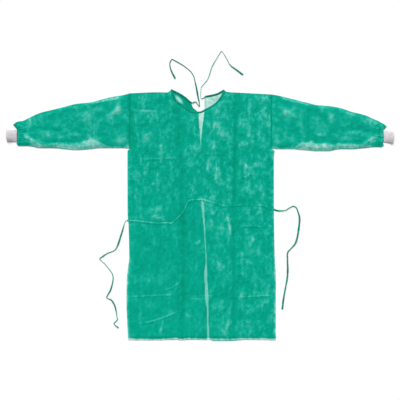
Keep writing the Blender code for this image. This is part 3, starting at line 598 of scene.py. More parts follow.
def make(name, points, faces, material, fields=(), replaces=None):
    """An object of faces, smooth but for its sharp rims, carried by the root body.

    faces is a list of arrays, each with one face of the same number of corners a row.
    """
    mesh = bpy.data.meshes.new(name)
    mesh.vertices.add(len(points))
    mesh.vertices.foreach_set("co", (points + PLACE).astype(np.float32).ravel())
    corners = np.concatenate([f.ravel() for f in faces]).astype(np.int32)
    sizes = np.concatenate([np.full(len(f), f.shape[1]) for f in faces])
    starts = np.concatenate([[0], np.cumsum(sizes)[:-1]]).astype(np.int32)
    mesh.loops.add(len(corners))
    mesh.loops.foreach_set("vertex_index", corners)
    mesh.polygons.add(len(sizes))
    mesh.polygons.foreach_set("loop_start", starts)
    mesh.polygons.foreach_set("use_smooth", np.ones(len(sizes), bool))
    mesh.update(calc_edges=True)
    mesh.validate()
    mesh.set_sharp_from_angle(angle=SHARP_ANGLE)
    for field, values in fields:
        layer = mesh.attributes.new(field, "FLOAT", "POINT")
        layer.data.foreach_set("value", np.asarray(values, np.float32).ravel())
    mesh.materials.append(material)
    made = bpy.data.objects.new(name, mesh)
    bpy.context.scene.collection.objects.link(made)
    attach(made, "root")
    if replaces:
        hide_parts(replaces)
    return made


def lined(name, top, under_z, step, material, fields=(), replaces=None):
    """A closed shell with a fine upper grid and a plainer underside, every step-th point."""
    rows, cols = top.shape[:2]
    index = np.arange(rows * cols).reshape(rows, cols)
    under = top[::step, ::step].copy()
    under[:, :, 2] = under_z[::step, ::step]
    r, c = under.shape[:2]
    low = rows * cols + np.arange(r * c).reshape(r, c)
    upper = np.stack([index[:-1, :-1], index[:-1, 1:], index[1:, 1:], index[1:, :-1]], -1)
    lower = np.stack([low[:-1, :-1], low[1:, :-1], low[1:, 1:], low[:-1, 1:]], -1)
    faces = [upper.reshape(-1, 4), lower.reshape(-1, 4)]
    for fine, coarse in (
        (index[0], low[0]),
        (index[-1, ::-1], low[-1, ::-1]),
        (index[::-1, 0], low[::-1, 0]),
        (index[:, -1], low[:, -1]),
    ):
        runs = [fine[np.arange(len(coarse) - 1) * step + k] for k in range(step, -1, -1)]
        faces.append(np.stack([coarse[:-1], coarse[1:]] + runs, -1))
    points = np.concatenate([top.reshape(-1, 3), under.reshape(-1, 3)])
    fields = [(f, np.concatenate([v.ravel(), v[::step, ::step].ravel()])) for f, v in fields]
    return make(name, points, faces, material, fields, replaces)


def shell(name, top, thick, material, fields=(), wrap=False, replaces=None):
    """A closed thin shell: a grid of points, and its copy thick below it or inside it."""
    rows, cols = top.shape[:2]
    under = top - normals_of(top, wrap) * thick
    under[:, :, 2] = np.maximum(under[:, :, 2], 0.3 * MM if wrap else 0.0)
    points = np.concatenate([top.reshape(-1, 3), under.reshape(-1, 3)])
    index = np.arange(rows * cols).reshape(rows, cols)
    low = rows * cols
    if wrap:
        nxt = np.roll(index, -1, 1)
        a, b, c, d = index[:-1], nxt[:-1], nxt[1:], index[1:]
    else:
        a, b, c, d = index[:-1, :-1], index[:-1, 1:], index[1:, 1:], index[1:, :-1]
    upper = np.stack([a, b, c, d], -1).reshape(-1, 4)
    quads = [upper, upper[:, ::-1] + low]

    def rim(first, second):
        quads.append(np.stack([first + low, second + low, second, first], -1).reshape(-1, 4))

    if wrap:
        rim(index[0], nxt[0])
        rim(nxt[-1], index[-1])
    else:
        rim(index[0, :-1], index[0, 1:])
        rim(index[-1, 1:], index[-1, :-1])
        rim(index[1:, 0], index[:-1, 0])
        rim(index[:-1, -1], index[1:, -1])
    fields = [(field, np.concatenate([v.ravel(), v.ravel()])) for field, v in fields]
    return make(name, points, quads, material, fields, replaces)


# Materials


class Graph:
    """Short calls for a material's nodes."""

    def __init__(self, name):
        self.material = bpy.data.materials.new(name)
        self.material.use_nodes = True
        self.tree = self.material.node_tree
        self.shader = self.tree.nodes["Principled BSDF"]
        self.place = self.node("ShaderNodeTexCoord").outputs["Object"]

    def node(self, kind, **facts):
        made = self.tree.nodes.new(kind)
        for key, value in facts.items():
            setattr(made, key, value)
        return made

    def put(self, socket, value):
        if hasattr(value, "is_output"):
            self.tree.links.new(value, socket)
        else:
            socket.default_value = value

    def surface(self, name, value):
        self.put(self.shader.inputs[name], value)

    def math(self, operation, first, second=0.0, third=0.0):
        made = self.node("ShaderNodeMath", operation=operation)
        for socket, value in zip(made.inputs, (first, second, third)):
            self.put(socket, value)
        return made.outputs[0]

    def added(self, first, first_share, second, second_share):
        return self.math(
            "ADD",
            self.math("MULTIPLY", first, first_share),
            self.math("MULTIPLY", second, second_share),
        )

    def wave(self, value, pitch):
        return self.math("SINE", self.math("MULTIPLY", value, 6.2832 / pitch))

    def split(self, vector):
        made = self.node("ShaderNodeSeparateXYZ")
        self.put(made.inputs[0], vector)
        return made.outputs[0], made.outputs[1]

    def scaled(self, scale, turn=0.0):
        made = self.node("ShaderNodeMapping")
        self.put(made.inputs["Vector"], self.place)
        made.inputs["Scale"].default_value = scale
        made.inputs["Rotation"].default_value = (0, 0, turn)
        return made.outputs["Vector"]

    def noise(self, vector, scale, detail=3.0, rough=0.55, distortion=0.0):
        made = self.node("ShaderNodeTexNoise")
        self.put(made.inputs["Vector"], vector)
        made.inputs["Scale"].default_value = scale
        made.inputs["Detail"].default_value = detail
        made.inputs["Roughness"].default_value = rough
        made.inputs["Distortion"].default_value = distortion
        return made.outputs["Fac"]

    def ramp(self, value, stops):
        made = self.node("ShaderNodeValToRGB")
        made.color_ramp.interpolation = "LINEAR"
        band = made.color_ramp.elements
        for k, (place, colour) in enumerate(stops):
            stop = band[k] if k < len(band) and k < 2 else band.new(place)
            stop.position = place
            stop.color = colour
        self.put(made.inputs["Fac"], value)
        return made.outputs["Color"]

    def level(self, value, low, high, out_low=0.0, out_high=1.0):
        made = self.node("ShaderNodeMapRange", interpolation_type="SMOOTHSTEP")
        keys = ("Value", "From Min", "From Max", "To Min", "To Max")
        for key, number in zip(keys, (value, low, high, out_low, out_high)):
            self.put(made.inputs[key], number)
        return made.outputs["Result"]

    def field(self, name):
        return self.node("ShaderNodeAttribute", attribute_name=name).outputs["Fac"]

    def bump(self, height, strength, distance, normal=None):
        made = self.node("ShaderNodeBump")
        made.inputs["Strength"].default_value = strength
        made.inputs["Distance"].default_value = distance
        self.put(made.inputs["Height"], height)
        if normal is not None:
            self.put(made.inputs["Normal"], normal)
        return made.outputs["Normal"]


def srgb(red, green, blue):
    """A colour of the picture, 0 to 255, as linear light with alpha."""
    linear = []
    for part in (red, green, blue):
        c = part / 255
        linear.append(c / 12.92 if c <= 0.04045 else ((c + 0.055) / 1.055) ** 2.4)
    return (*linear, 1.0)


# How much brighter than its own colour a level surface shows under the scene's lights
LIT = 1.08


def paint(red, green, blue):
    """The surface colour that shows as this colour of the picture."""
    r, g, b, _ = srgb(red, green, blue)
    return (max(r / LIT - 0.003, 0.0008), g / LIT, b / LIT, 1.0)


CLOTH_STOPS = (
    (0.00, paint(0, 146, 118)),
    (0.16, paint(2, 158, 131)),
    (0.32, paint(14, 169, 143)),
    (0.46, paint(38, 180, 156)),
    (0.60, paint(80, 192, 173)),
    (0.76, paint(124, 205, 190)),
    (0.90, paint(172, 220, 210)),
    (1.00, paint(206, 236, 229)),
)


DOT_PITCH = 0.0017
LOOP_PITCH = 0.0013


def bond_dots(g):
    """The lattice of small pressed dots that holds the fibres together: 1 in a dot."""
    across, along = g.split(g.scaled((1, 1, 1), 0.785))
    lattice = g.math("MULTIPLY", g.wave(across, DOT_PITCH), g.wave(along, DOT_PITCH))
    return g.level(lattice, 0.35, 0.8)


def pressed(g, dots, strength, normal):
    """The surface with its dots pressed in."""
    return g.bump(g.math("SUBTRACT", 1.0, dots), strength, 0.00012, normal)


def nonwoven(name, streak):
    """Green spunbond cloth: cloudy blotches, fibres, pressed dots and fine crinkle."""
    g = Graph(name)
    clouds = g.noise(g.scaled((streak, 1.0, 1.0)), 17.0, 1.0, 0.5)
    spots = g.noise(g.scaled((streak, 1.0, 1.0)), 44.0, 3.0, 0.55)
    grain = g.level(g.noise(g.scaled((1.0, 0.5, 1.0)), 190.0, 4.0, 0.72), 0.34, 0.64)
    threads = g.noise(g.scaled((1.0, 0.28, 1.0), 0.4), 620.0, 3.0, 0.7, 0.3)
    felt = g.noise(g.scaled((0.5, 1.0, 1.0), -0.7), 900.0, 3.0, 0.7, 0.2)
    mottle = g.field("mottle")
    blotch = g.added(clouds, 0.45, spots, 0.55)
    chalk = g.math("MULTIPLY_ADD", grain, 0.42, 0.58)
    pale = g.math("MULTIPLY", g.level(blotch, 0.43, 0.65), chalk)
    dark = g.level(blotch, 0.32, 0.50, -0.10, 0.0)
    dots = bond_dots(g)
    tone = g.math("MULTIPLY_ADD", pale, g.math("MULTIPLY", mottle, 0.50), g.field("tone"))
    tone = g.math("ADD", tone, g.math("MULTIPLY", dark, g.math("ADD", mottle, 0.3)))
    tone = g.math("ADD", tone, g.math("MULTIPLY_ADD", threads, 0.16, -0.08))
    tone = g.math("SUBTRACT", tone, g.math("MULTIPLY", dots, 0.035))
    g.surface("Base Color", g.ramp(tone, CLOTH_STOPS))
    g.surface("Roughness", g.math("MULTIPLY_ADD", felt, 0.16, 0.74))
    crinkle = g.noise(g.scaled((1.0, 0.7, 1.0)), 100.0, 3.0, 0.6, 0.25)
    crinkle = g.math("MULTIPLY", crinkle, g.math("MULTIPLY_ADD", mottle, 1.1, 0.30))
    creased = g.bump(crinkle, 1.0, 0.0027)
    fibres = g.bump(g.math("ADD", threads, felt), 0.45, 0.00022, creased)
    g.surface("Normal", pressed(g, dots, 0.35, fibres))
    g.surface("Specular IOR Level", 0.03)
    return g.material


def tape_cloth():
    """The folded tape: the same cloth in several layers, darker."""
    g = Graph("tape")
    blotch = g.noise(g.place, 150.0, 4.0, 0.65, 0.4)
    threads = g.noise(g.place, 900.0, 3.0, 0.7, 0.2)
    dots = bond_dots(g)
    tone = g.math("MULTIPLY_ADD", g.level(blotch, 0.42, 0.75), 0.24, g.field("tone"))
    tone = g.math("ADD", tone, g.math("MULTIPLY_ADD", threads, 0.16, -0.08))
    tone = g.math("SUBTRACT", tone, g.math("MULTIPLY", dots, 0.05))
    stops = (
        (0.00, paint(2, 112, 88)),
        (0.25, paint(8, 132, 106)),
        (0.50, paint(34, 156, 131)),
        (0.75, paint(96, 182, 164)),
        (1.00, paint(176, 214, 205)),
    )
    g.surface("Base Color", g.ramp(tone, stops))
    g.surface("Roughness", g.math("MULTIPLY_ADD", threads, 0.15, 0.72))
    g.surface("Normal", pressed(g, dots, 0.3, g.bump(threads, 0.4, 0.0002)))
    g.surface("Specular IOR Level", 0.03)
    return g.material


def knit_cloth():
    """White rib knit: its ribs are modelled, and rows of small loops run across them."""
    g = Graph("cuff_knit")
    across, along = g.split(g.place)
    loops = g.wave(across, LOOP_PITCH)
    slanted = g.wave(g.math("MULTIPLY_ADD", along, 0.6, across), LOOP_PITCH)
    fuzz = g.noise(g.place, 700.0, 4.0, 0.7, 0.3)
    cloud = g.noise(g.place, 60.0, 3.0, 0.6, 0.0)
    tone = g.math("ADD", g.added(fuzz, 0.5, cloud, 0.5), g.field("tone"))
    stops = ((0.2, paint(172, 169, 174)), (0.5, paint(215, 212, 217)), (0.8, paint(236, 234, 238)))
    g.surface("Base Color", g.ramp(tone, stops))
    g.surface("Roughness", 0.85)
    stitch = g.added(loops, 0.5, slanted, 0.5)
    relief = g.math("ADD", g.math("MULTIPLY", stitch, 0.5), fuzz)
    g.surface("Normal", g.bump(relief, 0.5, 0.0003))
    g.surface("Specular IOR Level", 0.2)
    g.surface("Sheen Weight", 0.1)
    return g.material


def thread_cloth():
    """Sewing thread, a shade lighter than the cloth."""
    g = Graph("thread")
    twist = g.noise(g.place, 2400.0, 2.0, 0.6, 0.0)
    stops = ((0.3, paint(18, 150, 126)), (0.7, paint(70, 186, 164)))
    g.surface("Base Color", g.ramp(twist, stops))
    g.surface("Roughness", 0.55)
    g.surface("Normal", g.bump(twist, 0.4, 0.0001))
    g.surface("Specular IOR Level", 0.25)
    return g.material


BODY_CLOTH = nonwoven("nonwoven_body", 1.45)
SLEEVE_CLOTH = nonwoven("nonwoven_sleeve", 1.0)
TAPE_CLOTH = tape_cloth()
KNIT = knit_cloth()
THREAD = thread_cloth()


# Body panels


def stations(low, high, spacing, fixed=()):
    """Evenly spaced values, moved onto the fixed ones."""
    values = list(np.linspace(low, high, int(round((high - low) / spacing)) + 1))
    for value in fixed:
        nearest = min(range(len(values)), key=lambda k: abs(values[k] - value))
        values[nearest] = value
    return np.array(values)


def edge_line(x, pieces):
    """Height of an upper edge made of several smooth stretches that meet in corners."""
    y = np.zeros_like(x)
    for table in pieces:
        table = sorted(table)
        inside = (x >= table[0][0] - 1e-9) & (x <= table[-1][0] + 1e-9)
        y[inside] = smooth(x[inside], column(table, 0), column(table, 1))
    return y


# Beyond these the columns follow the sides
BODY_LEFT, BODY_RIGHT = -0.300, 0.300
# The front's underside takes every third row and column
UNDER_STEP = 3
FRONT_ROW = 0.0033
FRONT_COLUMN = 0.6 / 204
BACK_ROW = 0.0046
BACK_COLUMN = 0.0055
# How far the panels reach above the armpits
ABOVE = 0.25


def panel_grid(columns, top_y, hem_y, sides, row):
    """The plan of a panel: fixed columns, and side zones that follow the edges of its sides."""
    below = np.linspace(0, 1, UNDER_STEP * int((ARMPIT_Y - HEM_Y) / row / UNDER_STEP) + 1)
    above = np.linspace(0, 1, UNDER_STEP * int(ABOVE / row / UNDER_STEP) + 1)[1:]
    low_y = hem_y[None, :] + below[:, None] * (ARMPIT_Y - hem_y[None, :])
    high_y = ARMPIT_Y + above[:, None] * (top_y[None, :] - ARMPIT_Y)
    y = np.concatenate([low_y, high_y])
    x = np.repeat(columns[None, :], len(y), 0)
    if "left" in sides:
        share = (BODY_LEFT - columns) / (BODY_LEFT - columns[0])
        followed = BODY_LEFT - share * (BODY_LEFT - side_x(y, True))
        x = np.where(columns < BODY_LEFT, followed, x)
    if "right" in sides:
        share = (columns - BODY_RIGHT) / (columns[-1] - BODY_RIGHT)
        followed = BODY_RIGHT + share * (side_x(y, False) - BODY_RIGHT)
        x = np.where(columns > BODY_RIGHT, followed, x)
    return x, y


def side_stations(outer, inner):
    """Columns of a side zone, closer together towards the edge."""
    share = np.array([0.0, 0.02, 0.06, 0.12, 0.21, 0.32, 0.44, 0.57, 0.71, 0.85])
    return outer + share * (inner - outer)


def hem_line(x, back):
    return HEM_Y - smooth(x, column(HEMS, 0), column(HEMS, 2 if back else 1))


# The hem's small ruffles: place and width in squares
RUFFLES = (
    (130.5, 4.0),
    (175.5, 3.4),
    (180.5, 2.2),
    (184.5, 1.6),
    (188.8, 1.8),
    (241.0, 4.0),
    (262.0, 5.0),
)


def front_tone(x, y, tone, top_y, hem_y):
    """Paler where the cloth is one ply or bunched, darker beside seams and ridges."""
    tone = tone + 0.25 + 0.035 * noise(x, y, 0.16, 21)
    tone = tone + 0.06 * noise(x * 2.4, y * 0.4, 0.045, 23)
    tone = tone + 0.04 * noise(x * 2.2, y * 0.45, 0.018, 24)
    gap = in_opening(x, y)
    beside = in_opening(x + 0.004, y) + in_opening(x - 0.004, y)
    upper = ease(y, 0.28, 0.44)
    tone = np.where(gap > 0, tone * (1 - gap) + gap * (0.72 + 0.20 * upper), tone)
    tone -= 0.10 * np.clip(beside, 0, 1) * (1 - gap)
    # The waist ties under the cloth: a little darker over them, with a pale crest of painted
    # highlight between flanks of painted shade
    ridge, off = tie_height(x, y)
    crest = 0.40 - 0.22 * ease(x, 0.02, 0.10) + 0.10 * noise(x, y, 0.03, 27)
    tone += crest * bell(off, 0.0026) * ridge - 0.06 * ridge
    tone -= 0.10 * bell(off - 0.0075, 0.0030) * ease(ridge, 0.02, 0.3)
    # The side edges below the armpits, paler along the edge, unevenly and more so towards the hem,
    # and the armhole seams above
    side = from_sides(x, y)
    below = ease(-y, -0.300, -0.285)
    edge_unevenness = 0.8 + 0.5 * noise(x, y, 0.035, 22) + 0.3 * noise(x, y, 0.012, 25)
    lower = 0.35 + 0.65 * ease(-y, 0.14, 0.22)
    tone += below * lower * edge_unevenness * (0.36 * bell(side, 0.006) + 0.16 * np.exp(-side / 0.012))
    armhole = ease(y, ARMPIT_Y, ARMPIT_Y + 0.005)
    tone += armhole * (seam_pucker(y, side)[1] - 0.12 * bell(side, 0.008))
    # The hem: a painted highlight along its edge, uneven along it, a little darker just above, and
    # paler ruffles
    up = y - hem_y
    hem_highlight = 0.95 + 0.35 * noise(x, y, 0.016, 26)
    tone += hem_highlight * 0.85 * bell(up, 0.0042) - 0.08 * bell(up - 0.009, 0.005)
    for px, wide in RUFFLES:
        ruffle = bell(x - at(px, 0)[0], wide * 0.6 * SQUARE)
        tone += 0.30 * ruffle * bell(up, 0.010)
    tone -= 0.18 * bell(top_y - y, 0.0036)
    return tone, gap


def build_front():
    """The front panel."""
    fixed = (NECK_LEFT[0], NECK_RIGHT[0], -0.1541, 0.1190)
    middle = stations(BODY_LEFT, BODY_RIGHT, FRONT_COLUMN, fixed)
    left = side_stations(PANEL_LEFT, BODY_LEFT)
    right = side_stations(PANEL_RIGHT, BODY_RIGHT)[::-1]
    columns = np.concatenate([left, middle, right])
    # A whole number of steps, with the last column kept
    kept = (len(columns) - 1) // UNDER_STEP * UNDER_STEP
    columns = np.concatenate([columns[:kept], columns[-1:]])
    top_y = edge_line(columns, (SHOULDER_LEFT, FRONT_NECK, SHOULDER_RIGHT))
    hem_y = hem_line(columns, False)
    x, y = panel_grid(columns, top_y, hem_y, ("left", "right"), FRONT_ROW)
    top_y, hem_y = top_y[None, :], hem_y[None, :]
    upper_z, under_z, tone = front_under(x, y, top_y, hem_y)
    grid = np.stack([x, y, upper_z], 2)
    tone, gap = front_tone(x, y, tone, top_y, hem_y)
    mottle = front_mottle(x, y) * (1 - 0.6 * trough_share(x, y)) * (1 - 0.7 * gap)
    fields = (("tone", tone), ("mottle", mottle))
    return lined(
        "front_cloth", grid, under_z, UNDER_STEP, BODY_CLOTH, fields, replaces="front"
    )


def trough_share(x, y):
    """1 in the long pressed folds of the front."""
    share = np.zeros(x.shape)
    for line, half, _, _ in FRONT_TROUGHS[:5]:
        away, _ = near_line(x, y, line)
        share = np.maximum(share, bell(away, half * MM))
    return share


def build_back(name, node, left):
    """A back panel: its side, its inner columns, and a zone that follows the back opening."""
    if left:
        inner = stations(BODY_LEFT, -0.0625, BACK_COLUMN, (NECK_LEFT[0],))
        side = side_stations(PANEL_LEFT, BODY_LEFT)
        near, neck_x, pieces = inner[-1], OPENING_LEFT[0], (SHOULDER_LEFT, BACK_NECK_LEFT)
        zone = near + np.linspace(0, 1, 16)[1:] * (neck_x - near)
        columns = np.concatenate([side, inner, zone])
    else:
        inner = stations(0.0660, BODY_RIGHT, BACK_COLUMN, (NECK_RIGHT[0],))
        side = side_stations(PANEL_RIGHT, BODY_RIGHT)[::-1]
        near, neck_x, pieces = inner[0], OPENING_RIGHT[0], (SHOULDER_RIGHT, BACK_NECK_RIGHT)
        zone = neck_x + np.linspace(0, 1, 16)[:-1] * (near - neck_x)
        columns = np.concatenate([zone, inner, side])
    top_y = edge_line(columns, pieces)
    hem_y = hem_line(columns, True)
    x, y = panel_grid(columns, top_y, hem_y, ("left",) if left else ("right",), BACK_ROW)
    share = np.clip((columns - near) / (neck_x - near), 0, 1)[None, :]
    x = np.where(share > 0, near + share * (opening_x(y, left) - near), x)
    grid = np.stack([x, y, back_under(x, y) + CLOTH], 2)
    tone = 0.30 + 0.05 * noise(x, y, 0.12, 31)
    # What shows in the neck hole
    hole = ease(y - front_neck_y(x), -0.004, 0.004)
    if left:
        cx, cy = at(179.0, 99.6)
        turn = np.radians(-48)
        dx = ((x - cx) * np.cos(turn) + (y - cy) * np.sin(turn)) / 0.029
        dy = ((y - cy) * np.cos(turn) - (x - cx) * np.sin(turn)) / 0.0098
        seen = 0.12 + 0.80 * bell(dx * dx + dy * dy, 1.0)
    else:
        seen = 0.93 + 0.10 * noise(x, y, 0.014, 33) + 0.06 * noise(x, y, 0.006, 34)
    tone = tone * (1 - hole) + hole * seen
    # What shows below the front's hem
    tone = tone + 0.35 * ease(-(y - hem_line(x, False)), -0.001, 0.001)
    fields = (("tone", tone), ("mottle", 0.5 * (1 - 0.75 * hole)))
    return shell(name, grid, CLOTH, BODY_CLOTH, fields, replaces=node)


def front_neck_y(x):
    """Height of the front's upper edge, also over the neck."""
    inside = np.clip(x, PANEL_LEFT, PANEL_RIGHT).ravel()
    return edge_line(inside, (SHOULDER_LEFT, FRONT_NECK, SHOULDER_RIGHT)).reshape(x.shape)


front_cloth = build_front()
back_left_cloth = build_back("back_left_cloth", "back_left", True)
back_right_cloth = build_back("back_right_cloth", "back_right", False)


# Sleeves

# x, lower edge, upper edge of the sleeve
SLEEVE_LEFT = (
    (-0.33004, 0.3030, 0.5568),
    (-0.3551, 0.3059, 0.5497),
    (-0.3830, 0.3059, 0.5450),
    (-0.4103, 0.3059, 0.5405),
    (-0.4655, 0.3059, 0.5267),
    (-0.5035, 0.3020, 0.5165),
    (-0.5759, 0.2967, 0.5083),
    (-0.6311, 0.3013, 0.4945),
    (-0.6863, 0.3059, 0.4807),
    (-0.7415, 0.3059, 0.4669),
    (-0.7800, 0.3130, 0.4500),
    (-0.8050, 0.3151, 0.4372),
    (-0.8243, 0.3151, 0.4292),
    (-0.8380, 0.3151, 0.4284),
)
SLEEVE_RIGHT = (
    (0.32574, 0.3030, 0.5517),
    (0.3625, 0.3013, 0.5451),
    (0.3900, 0.3013, 0.5380),
    (0.4177, 0.3013, 0.5313),
    (0.4600, 0.2975, 0.5205),
    (0.4931, 0.2950, 0.5125),
    (0.5281, 0.2921, 0.5037),
    (0.5833, 0.2921, 0.4991),
    (0.6385, 0.3013, 0.4899),
    (0.6937, 0.3013, 0.4715),
    (0.7489, 0.3059, 0.4577),
    (0.8000, 0.3105, 0.4360),
    (0.8130, 0.3105, 0.4310),
    (0.8240, 0.3100, 0.4240),
)
# The gathered end: x at the lower fold, near it, in the middle, near the upper fold and at
# it, then the ring's lower and upper edge and its height
END_LEFT = (
    (-0.8440, -0.8432, -0.8385, -0.8420, -0.8482, 0.3165, 0.4255, 0.0075),
    (-0.8497, -0.8462, -0.8418, -0.8450, -0.8657, 0.3270, 0.4130, 0.0066),
    (-0.8445, -0.8445, -0.8445, -0.8445, -0.8445, 0.3345, 0.3880, 0.0052),
    (-0.8472, -0.8472, -0.8472, -0.8472, -0.8472, 0.3345, 0.3880, 0.0050),
)
END_RIGHT = (
    (0.8310, 0.8292, 0.8250, 0.8300, 0.8377, 0.3105, 0.4172, 0.0075),
    (0.8400, 0.8345, 0.8295, 0.8340, 0.8533, 0.3169, 0.4048, 0.0066),
    (0.8355, 0.8355, 0.8355, 0.8355, 0.8355, 0.3330, 0.3850, 0.0052),
    (0.8388, 0.8388, 0.8388, 0.8388, 0.8388, 0.3330, 0.3850, 0.0050),
)
END_SHARES = (0.0, 0.06, 0.5, 0.93, 1.0)

# Creases and patches of the left sleeve; the right sleeve mirrors them in this square
MIRROR = 401.3
SLEEVE_FOLDS = (
    (((92.6, 106), (92.9, 124), (92.4, 142)), 3.2, -1.7, -0.12),
    (((94.4, 108), (94.8, 124), (94.2, 140)), 2.4, 0.9, 0.06),
    (((36, 127.6), (48, 129.8), (62, 131.4)), 4.6, -1.6, -0.13),
    (((38, 141.0), (50, 142.2), (62, 142.0), (76, 141.6)), 3.6, -1.6, -0.14),
    (((76, 141.6), (86, 139.8), (98, 141.2), (106, 146.0)), 3.0, -1.0, -0.07),
    (((22.5, 136.2), (29, 137.8), (34, 141.6), (38.5, 146.0)), 7.5, 2.4, 0.24),
    (((24, 138.8), (30, 140.8), (35, 144.8)), 2.4, -0.9, -0.20),
    (((25, 140.8), (31, 143.2), (36, 146.0)), 4.4, 1.2, 0.22),
    # The next crease is a painted shadow: the dark strip just inside the sleeve's gathered end
    (((17.4, 127), (17.8, 133), (17.4, 138.5)), 4.5, -1.0, -0.24),
    (((20, 126), (24, 128), (31, 128.6)), 3.0, 1.0, 0.14),
    (((20, 132.6), (28, 132.2), (40, 131.0)), 5.0, -1.2, -0.14),
    (((29.5, 117.2), (30.6, 121.5), (31.2, 125.5)), 3.0, 1.2, 0.20),
    (((66, 134.8), (76, 135.4), (86, 135.2)), 3.4, 1.1, 0.13),
    (((40, 131.8), (52, 134.0), (60, 134.6)), 4.0, 1.2, 0.12),
    (((106, 118.6), (114, 113), (122.5, 105.0)), 13.0, 2.2, 0.17),
    (((111, 114.6), (117, 109.6), (121, 106.4)), 4.0, 0.8, 0.10),
    (((106, 114.6), (112, 109.6), (119, 104.4)), 3.4, -1.0, -0.08),
    (((112, 122.6), (115, 120.4), (117, 122.4)), 2.4, 0.9, 0.12),
    (((64, 113), (70, 116), (74, 121)), 2.8, 1.1, 0.13),
    (((118, 97.6), (106, 102.2), (96, 105.2)), 4.0, -1.4, -0.10),
    (((99, 119), (105, 127), (112, 132)), 3.6, 0.9, 0.05),
    (((122, 112), (121, 124), (119, 136)), 3.8, 0.8, 0.05),
    (((16.5, 123.6), (20, 125.6), (25, 130)), 2.6, 1.4, 0.16),
    (((17.2, 127), (18.4, 133), (18.6, 139)), 2.4, 1.1, 0.16),
    (((34, 116.4), (35, 121), (35.6, 126)), 2.0, 1.1, 0.13),
    (((38.6, 117.0), (40, 122), (42, 126)), 2.0, 1.0, 0.12),
    (((30, 119.0), (31.6, 123)), 2.0, 0.8, 0.10),
    (((52, 112), (56, 114), (62, 112.6)), 2.4, 0.9, 0.08),
)
SLEEVE_PATCHES = (
    (116.0, 111.4, 7.6, 3.6, 42, 1.2, 0.26),
    (113.0, 122.0, 3.4, 3.6, 0, 1.0, 0.20),
    (124.0, 134.0, 2.6, 5.0, 0, 0.9, 0.16),
    (121.0, 141.0, 4.6, 2.6, 0, 0.8, 0.16),
    (76.0, 107.6, 4.6, 2.2, 0, 1.0, 0.24),
    (86.0, 118.0, 5.0, 4.0, 0, 1.1, 0.20),
    (70.5, 117.0, 3.0, 4.0, -30, 1.0, 0.18),
    (57.5, 124.0, 5.0, 3.2, 0, 1.1, 0.24),
    (98.5, 128.6, 2.6, 3.0, 0, 0.8, 0.16),
    (102.0, 111.0, 4.0, 4.4, 0, 0.7, 0.12),
    (46.0, 133.4, 6.4, 2.6, -8, 1.1, 0.22),
    (60.0, 136.4, 8.0, 2.8, 0, 0.9, 0.18),
    (77.0, 135.0, 8.0, 2.0, 0, 0.9, 0.20),
    (38.0, 122.4, 6.4, 3.8, 0, 1.0, 0.20),
    (49.0, 114.6, 6.0, 1.8, 18, 0.7, 0.14),
    (27.0, 126.0, 3.8, 4.4, 0, 0.9, 0.14),
    (18.4, 131.0, 1.6, 6.4, 0, 0.6, 0.20),
    (30.0, 139.6, 6.4, 2.4, -33, 1.0, 0.44),
    # The last patch is a painted highlight: a pale sheen near the top of the sleeve's end
    (20.6, 126.0, 1.6, 3.6, 0, 0.5, 0.20),
)
# Single-ply bands along the left sleeve's edges, in squares: place along the sleeve, and
# the width at the lower edge and at the upper edge
BAND = (
    (20, 0.0, 0.0),
    (27, 0.5, 0.0),
    (33, 2.6, 0.0),
    (40, 4.0, 0.0),
    (52, 4.8, 0.4),
    (62, 5.6, 1.4),
    (72, 6.4, 1.0),
    (80, 7.4, 0.8),
    (88, 9.0, 1.2),
    (96, 8.4, 2.6),
    (102, 4.4, 3.2),
    (108, 1.8, 3.4),
    (116, 1.2, 2.6),
    (122, 1.6, 1.0),
    (128, 2.4, 0.0),
)


def sleeve_fields(x, y, low, high, left):
    """Height of the sleeve's upper cloth over its flat fold, its tone and its pale bands."""
    squares = x / SQUARE + MIDDLE_PX
    squares = squares if left else MIRROR - squares
    mx = (squares - MIDDLE_PX) * SQUARE
    seed = 400 if left else 460
    tone = 0.04 * noise(x, y, 0.14, seed)
    swell = noise(x * 0.7, y, 0.12, seed + 1) + 0.6 * noise(x, y, 0.06, seed + 2)
    height = 1.6 * MM + 0.9 * MM * swell
    height += 1.0 * MM * crumple(x * 0.8, y * 1.2, 0.055, seed + 3)
    height += 0.6 * MM * crumple(x, y * 1.2, 0.026, seed + 4)
    height += 0.26 * MM * crumple(x, y, 0.012, seed + 5)
    height, tone = add_folds(mx, y, SLEEVE_FOLDS, height, tone, seed + 10)
    height, tone = add_patches(mx, y, SLEEVE_PATCHES, height, tone, seed + 60)
    wobble = 1 + 0.30 * noise(x, y, 0.03, seed + 6) + 0.12 * noise(x, y, 0.009, seed + 7)
    lower = smooth(squares, column(BAND, 0), column(BAND, 1)) * SQUARE * wobble
    upper = smooth(squares, column(BAND, 0), column(BAND, 2)) * SQUARE * wobble
    band = ease(-(y - low - lower), -0.005, 0.006) * ease(lower, 0.001, 0.006)
    band_top = ease(y - (high - upper), -0.005, 0.006) * ease(upper, 0.001, 0.006)
    pale = np.maximum(band, 0.85 * band_top)
    fleck = 0.10 * noise(x, y, 0.016, seed + 8) + 0.12 * noise(x * 2.4, y * 0.6, 0.012, seed + 9)
    tone = tone * (1 - 0.8 * pale) + pale * (0.41 + fleck)
    rim = ease(squares, 26, 34) * ease(-squares, -70, -58)
    tone = tone - (0.10 + 0.34 * rim) * bell(y - low, 0.0032) - 0.24 * bell(high - y, 0.0036)
    height += 1.4 * MM * pale
    return height, tone, pale


# The sleeve's cross-section: points from fold to fold, end rings, the height of the last
# ring before them, the level of the folds and how far they take to turn round
SLEEVE_POINTS = 54
END_RINGS = 16
END_HEIGHT = 0.0062
FOLD_LEVEL = 0.0013
FOLD_TURN = 0.0016


